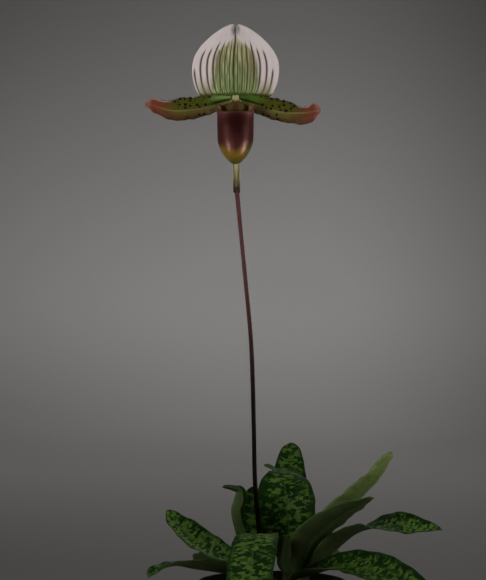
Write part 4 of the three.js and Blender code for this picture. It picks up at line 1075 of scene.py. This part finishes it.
pot = piece("nursery_pot", [loft([ring(r, around(128), z) for r, z in pot_profile()])], pot_material(), "pot")
holes = bmesh.new()
for place in ring(DRAIN["ring"], around(DRAIN["count"]), 0) * MM:
    bmesh.ops.create_cone(holes, cap_ends=True, segments=32, radius1=DRAIN["radius"] * MM,
                          radius2=DRAIN["radius"] * MM, depth=4 * POT["floor"] * MM,
                          matrix=Matrix.Translation(place))
cutter = link(bpy.data.objects.new("drain_cutter", bpy.data.meshes.new("drain_cutter")))
holes.to_mesh(cutter.data)
holes.free()
cut = pot.modifiers.new("drain", "BOOLEAN")
cut.object = cutter
cut.solver = "EXACT"
bpy.context.view_layer.update()
whole = bpy.data.meshes.new_from_object(pot.evaluated_get(bpy.context.evaluated_depsgraph_get()))
pot.modifiers.clear()
pot.data = whole
bpy.data.objects.remove(cutter)
whole.set_sharp_from_angle(angle=math.radians(40))

# ---- bark, rhizome and roots
BARK = dict(middle=82, edge=72.5, wall_top=70, chips=340, attempts=3200, highest=85)


def dome(x, y):
    """The height of the bark's surface."""
    return BARK["middle"] - (BARK["middle"] - BARK["edge"]) * (x * x + y * y) / SHOULDER ** 2


# The bed below the loose chips: a wall that follows the pot, then a top with a well for each growth.
angle = around(SIDES)
rings = []
for z in np.linspace(POT["floor"] + PLAY, BARK["wall_top"], 12):
    r = inner_radius(z) - PLAY - 0.25 + 0.2 * np.sin(9 * angle + z) * np.sin(4 * angle + 0.3 * z)
    rings.append(ring(r, angle, z))
for share in np.linspace(1, 0.03, 22):
    x, y, _ = ring(share * (inner_radius(BARK["wall_top"]) - PLAY - 0.3), angle, 0).T
    away = np.min([np.hypot(x - gx, y - gy) for gx, gy in GROWTHS.values()], axis=0)
    well = 5.5 * (1 - smooth(8.5, 11.5, away))
    rings.append(xyz(x, y, dome(x, y) - 4.2 - well + 0.7 * np.sin(x / 1.7) * np.cos(y / 2.1)))

cube = bmesh.new()
bmesh.ops.create_cube(cube, size=2)
bmesh.ops.subdivide_edges(cube, edges=cube.edges[:], cuts=3, use_grid_fill=True)
chip, chip_faces = form_of(cube)
chip /= np.sum(np.abs(chip) ** 5, axis=1, keepdims=True) ** 0.2

# Points of the leaves, the stalk and the growths, which no chip may touch.
taken = [made["points"][made["points"][:, 2] < 96][::7] for made in leaves]
taken.append(spline(SCAPE, np.linspace(0, 0.15, 12))[:, :3])
taken = np.vstack(taken + [xyz(x, y, np.arange(64, 93)) for x, y in GROWTHS.values()])

rng = np.random.default_rng(23)
chips = [loft(rings, rings, 0, (0.15, 0.3, 0.5))]
for attempt in range(BARK["attempts"]):
    if len(chips) > BARK["chips"]:
        break
    if attempt % 3 == 0:  # a small chip close to a growth
        gx, gy = list(GROWTHS.values())[rng.integers(3)]
        r, a = rng.uniform(3, 12), rng.uniform(0, 2 * math.pi)
        half = rng.uniform([1.4, 1, 0.7], [3.2, 2.2, 1.3])
    else:
        gx, gy = 0, 0
        r, a = 40 * math.sqrt(rng.uniform()), rng.uniform(0, 2 * math.pi)
        half = rng.uniform([2.6, 1.8, 0.9], [6, 4, 1.9])
    x, y = gx + r * math.cos(a), gy + r * math.sin(a)
    spin, tip, roll = rng.uniform(0, 2 * math.pi), rng.normal(scale=0.3), rng.normal(scale=0.3)
    first = unit(np.array([math.cos(spin), math.sin(spin), tip]))
    up = unit(np.cross(first, [-math.sin(spin), math.cos(spin), roll]))
    turn = np.array([first, np.cross(up, first), up])
    centre = np.array([x, y, dome(x, y) - rng.uniform(1, 3.6)])
    local = (taken - centre) @ turn.T / (half + 0.7)
    if np.min(np.sum(np.abs(local) ** 3, axis=1)) < 1:
        continue
    form = chip * half
    form = form + 0.16 * half * np.sin(form[:, [1, 2, 0]] * [0.9, 1.3, 1.1] + rng.uniform(0, 6, 3))
    form[:, 1:2] *= 1 - 0.35 * rng.uniform() * form[:, :1] / half[0]
    points = centre + form @ turn
    limit = inner_radius(np.minimum(points[:, 2], BARK["wall_top"] + 1)) - 0.6
    if np.any(np.hypot(points[:, 0], points[:, 1]) > limit) or points[:, 2].max() > BARK["highest"]:
        continue
    chips.append(part(points, chip_faces, form, 0, rng.uniform(size=3)))
piece("bark_chips", chips, bark_material(), "potting_bark")

# The tops of the growths: height and radius.
TOPS = dict(flowering=(BASE_Z - PLAY, 1.8), right=(BASE_Z + 16, 1.2), young=(BASE_Z + 14, 1.2))
roots = []
for name, (x, y) in GROWTHS.items():
    roots.append(rod([[x, y, RHIZOME_Z - 6, 2.5], [x, y, RHIZOME_Z, 4.5], [x, y, BASE_Z - 2, 2.4],
                      [x, y, *TOPS[name]]], 20, 24))
for a, b in (("flowering", "right"), ("right", "young")):
    (ax, ay), (bx, by) = GROWTHS[a], GROWTHS[b]
    roots.append(rod([[ax, ay, RHIZOME_Z, 3], [(ax + bx) / 2, (ay + by) / 2, RHIZOME_Z - 1.5, 3],
                      [bx, by, RHIZOME_Z, 3]], 20, 20, ribs=5, relief=0.2))
for start, azimuth, reach, bottom in ROOTS:
    x, y = GROWTHS[start]
    dx, dy = polar(azimuth)
    stations = [
        [x + dx * reach * out, y + dy * reach * out, RHIZOME_Z - (RHIZOME_Z - bottom) * down, radius]
        for out, down, radius in ((0, 0, 1.5), (0.6, 0.25, 1.5), (1, 0.65, 1.4), (0.9, 1, 1.1))
    ]
    roots.append(rod(stations, 16, 40))
piece("roots", roots, root_material(), "rhizome_and_roots")

# ---- studio, in metres
PAPER = paper_material()
FLOOR_RADIUS = 2.1
COVE = dict(start=2.2, radius=0.8, top=3.4)


def stage(name, profile):
    """A piece of the studio, turned round the middle of the floor."""
    points = np.vstack([ring(r, around(SIDES), z) for r, z in profile])
    obj = mesh_object(name, points, grid_faces(len(profile) - 1, SIDES, closed=True), PAPER)
    return obj


stage("studio_floor", [(r, 0) for r in (0.0005, 0.6, 1.2, 1.8, FLOOR_RADIUS)])
curve = [(COVE["start"] + COVE["radius"] * math.sin(a), COVE["radius"] * (1 - math.cos(a)))
         for a in np.linspace(0.1, math.pi / 2, 12)]
wall = stage("studio_wall", [(FLOOR_RADIUS, 0), (COVE["start"], 0), *curve]
             + [(COVE["start"] + COVE["radius"], z) for z in (1.6, 2.6, COVE["top"])])
# The wall is a background: it casts no light on the plant and isn't mirrored in it.
wall.visible_diffuse = wall.visible_glossy = wall.visible_transmission = wall.visible_shadow = False


def lamp(kind, name, place, target, energy, **settings):
    light = bpy.data.lights.new(name, kind)
    light.energy = energy
    for key, value in settings.items():
        setattr(light, key, value)
    obj = link(bpy.data.objects.new(name, light))
    obj.location = place
    obj.rotation_euler = (Vector(target) - Vector(place)).to_track_quat("-Z", "Y").to_euler()
    obj.visible_camera = False
    return obj


MIDDLE = FLOWER * MM
WHITE = (1, 1, 1)
WARM = (1, 0.98, 0.95)
ROSY = (1, 0.86, 0.8)
PINK = (1, 0.88, 0.82)
OPEN = 180  # degrees
GRID = 84  # a honeycomb keeps the two softboxes on the flower
BEAM = 44  # a narrower grid keeps the strips off the leaves
# Name, place, target, width, height, power, colour, spread, seen in gloss, lights matt faces.
for name, place, target, width, height, power, colour, angle, glossy, diffuse in [
    ("left_softbox", (-0.46, -0.42, 0.4), MIDDLE, 0.24, 0.28, 0.43, WARM, GRID, False, True),
    ("right_softbox", (0.56, -0.27, 0.39), MIDDLE, 0.3, 0.32, 0.43, WARM, GRID, False, True),
    ("left_strip", (-0.39, -0.33, 0.265), MIDDLE, 0.1, 0.22, 0.13, ROSY, BEAM, True, False),
    ("right_strip", (0.43, -0.22, 0.225), MIDDLE, 0.12, 0.3, 0.25, PINK, BEAM, True, False),
    ("top_softbox", (-0.02, -0.25, 0.95), (-0.01, 0, 0.15), 0.5, 0.4, 0.16, WHITE, OPEN, True, True),
    ("back_softbox", (0.2, 0.75, 0.75), (0, 0, 0.25), 0.7, 0.5, 0.3, WHITE, OPEN, True, True),
    ("back_left", (-0.75, 0.85, 0.42), (0, 0, 0.2), 0.4, 0.4, 0.22, WHITE, BEAM, False, True),
    ("back_right", (0.75, 0.85, 0.42), (0, 0, 0.2), 0.4, 0.4, 0.22, WHITE, BEAM, False, True),
]:
    obj = lamp("AREA", name, place, target, power, shape="RECTANGLE", size=width, size_y=height,
               color=colour, spread=math.radians(angle))
    obj.visible_glossy = glossy
    obj.visible_diffuse = diffuse
for name, place, target, angle, power in [
    ("backdrop_lamp", (0.1, 1.1, 2), (0, 2.3, 0), 110, 16),
    ("backdrop_glow", (0, 1.2, 1.1), (0, 3, 0.41), 66, 19.5),
    ("floor_lamp", (0.05, 1.6, 1.9), (0, 1.75, 0), 90, 17.5),
]:
    lamp("SPOT", name, place, target, power, spot_size=math.radians(angle), spot_blend=1,
         shadow_soft_size=0.3)

world = bpy.data.worlds.new("room")
world.use_nodes = True
background = world.node_tree.nodes["Background"].inputs
background["Color"].default_value = (0.92, 0.95, 1, 1)
background["Strength"].default_value = 0.045
bpy.context.scene.world = world
bpy.context.scene.view_settings.view_transform = "Standard"

# ---- camera
optics = bpy.data.cameras.new("camera")
optics.lens = 124.1
optics.sensor_width = 36
optics.clip_end = 50
camera = link(bpy.data.objects.new("camera", optics))
camera.location = (-0.0174, -1.2, 0.2576)
camera.rotation_euler = (math.pi / 2, 0, 0)
bpy.context.scene.camera = camera
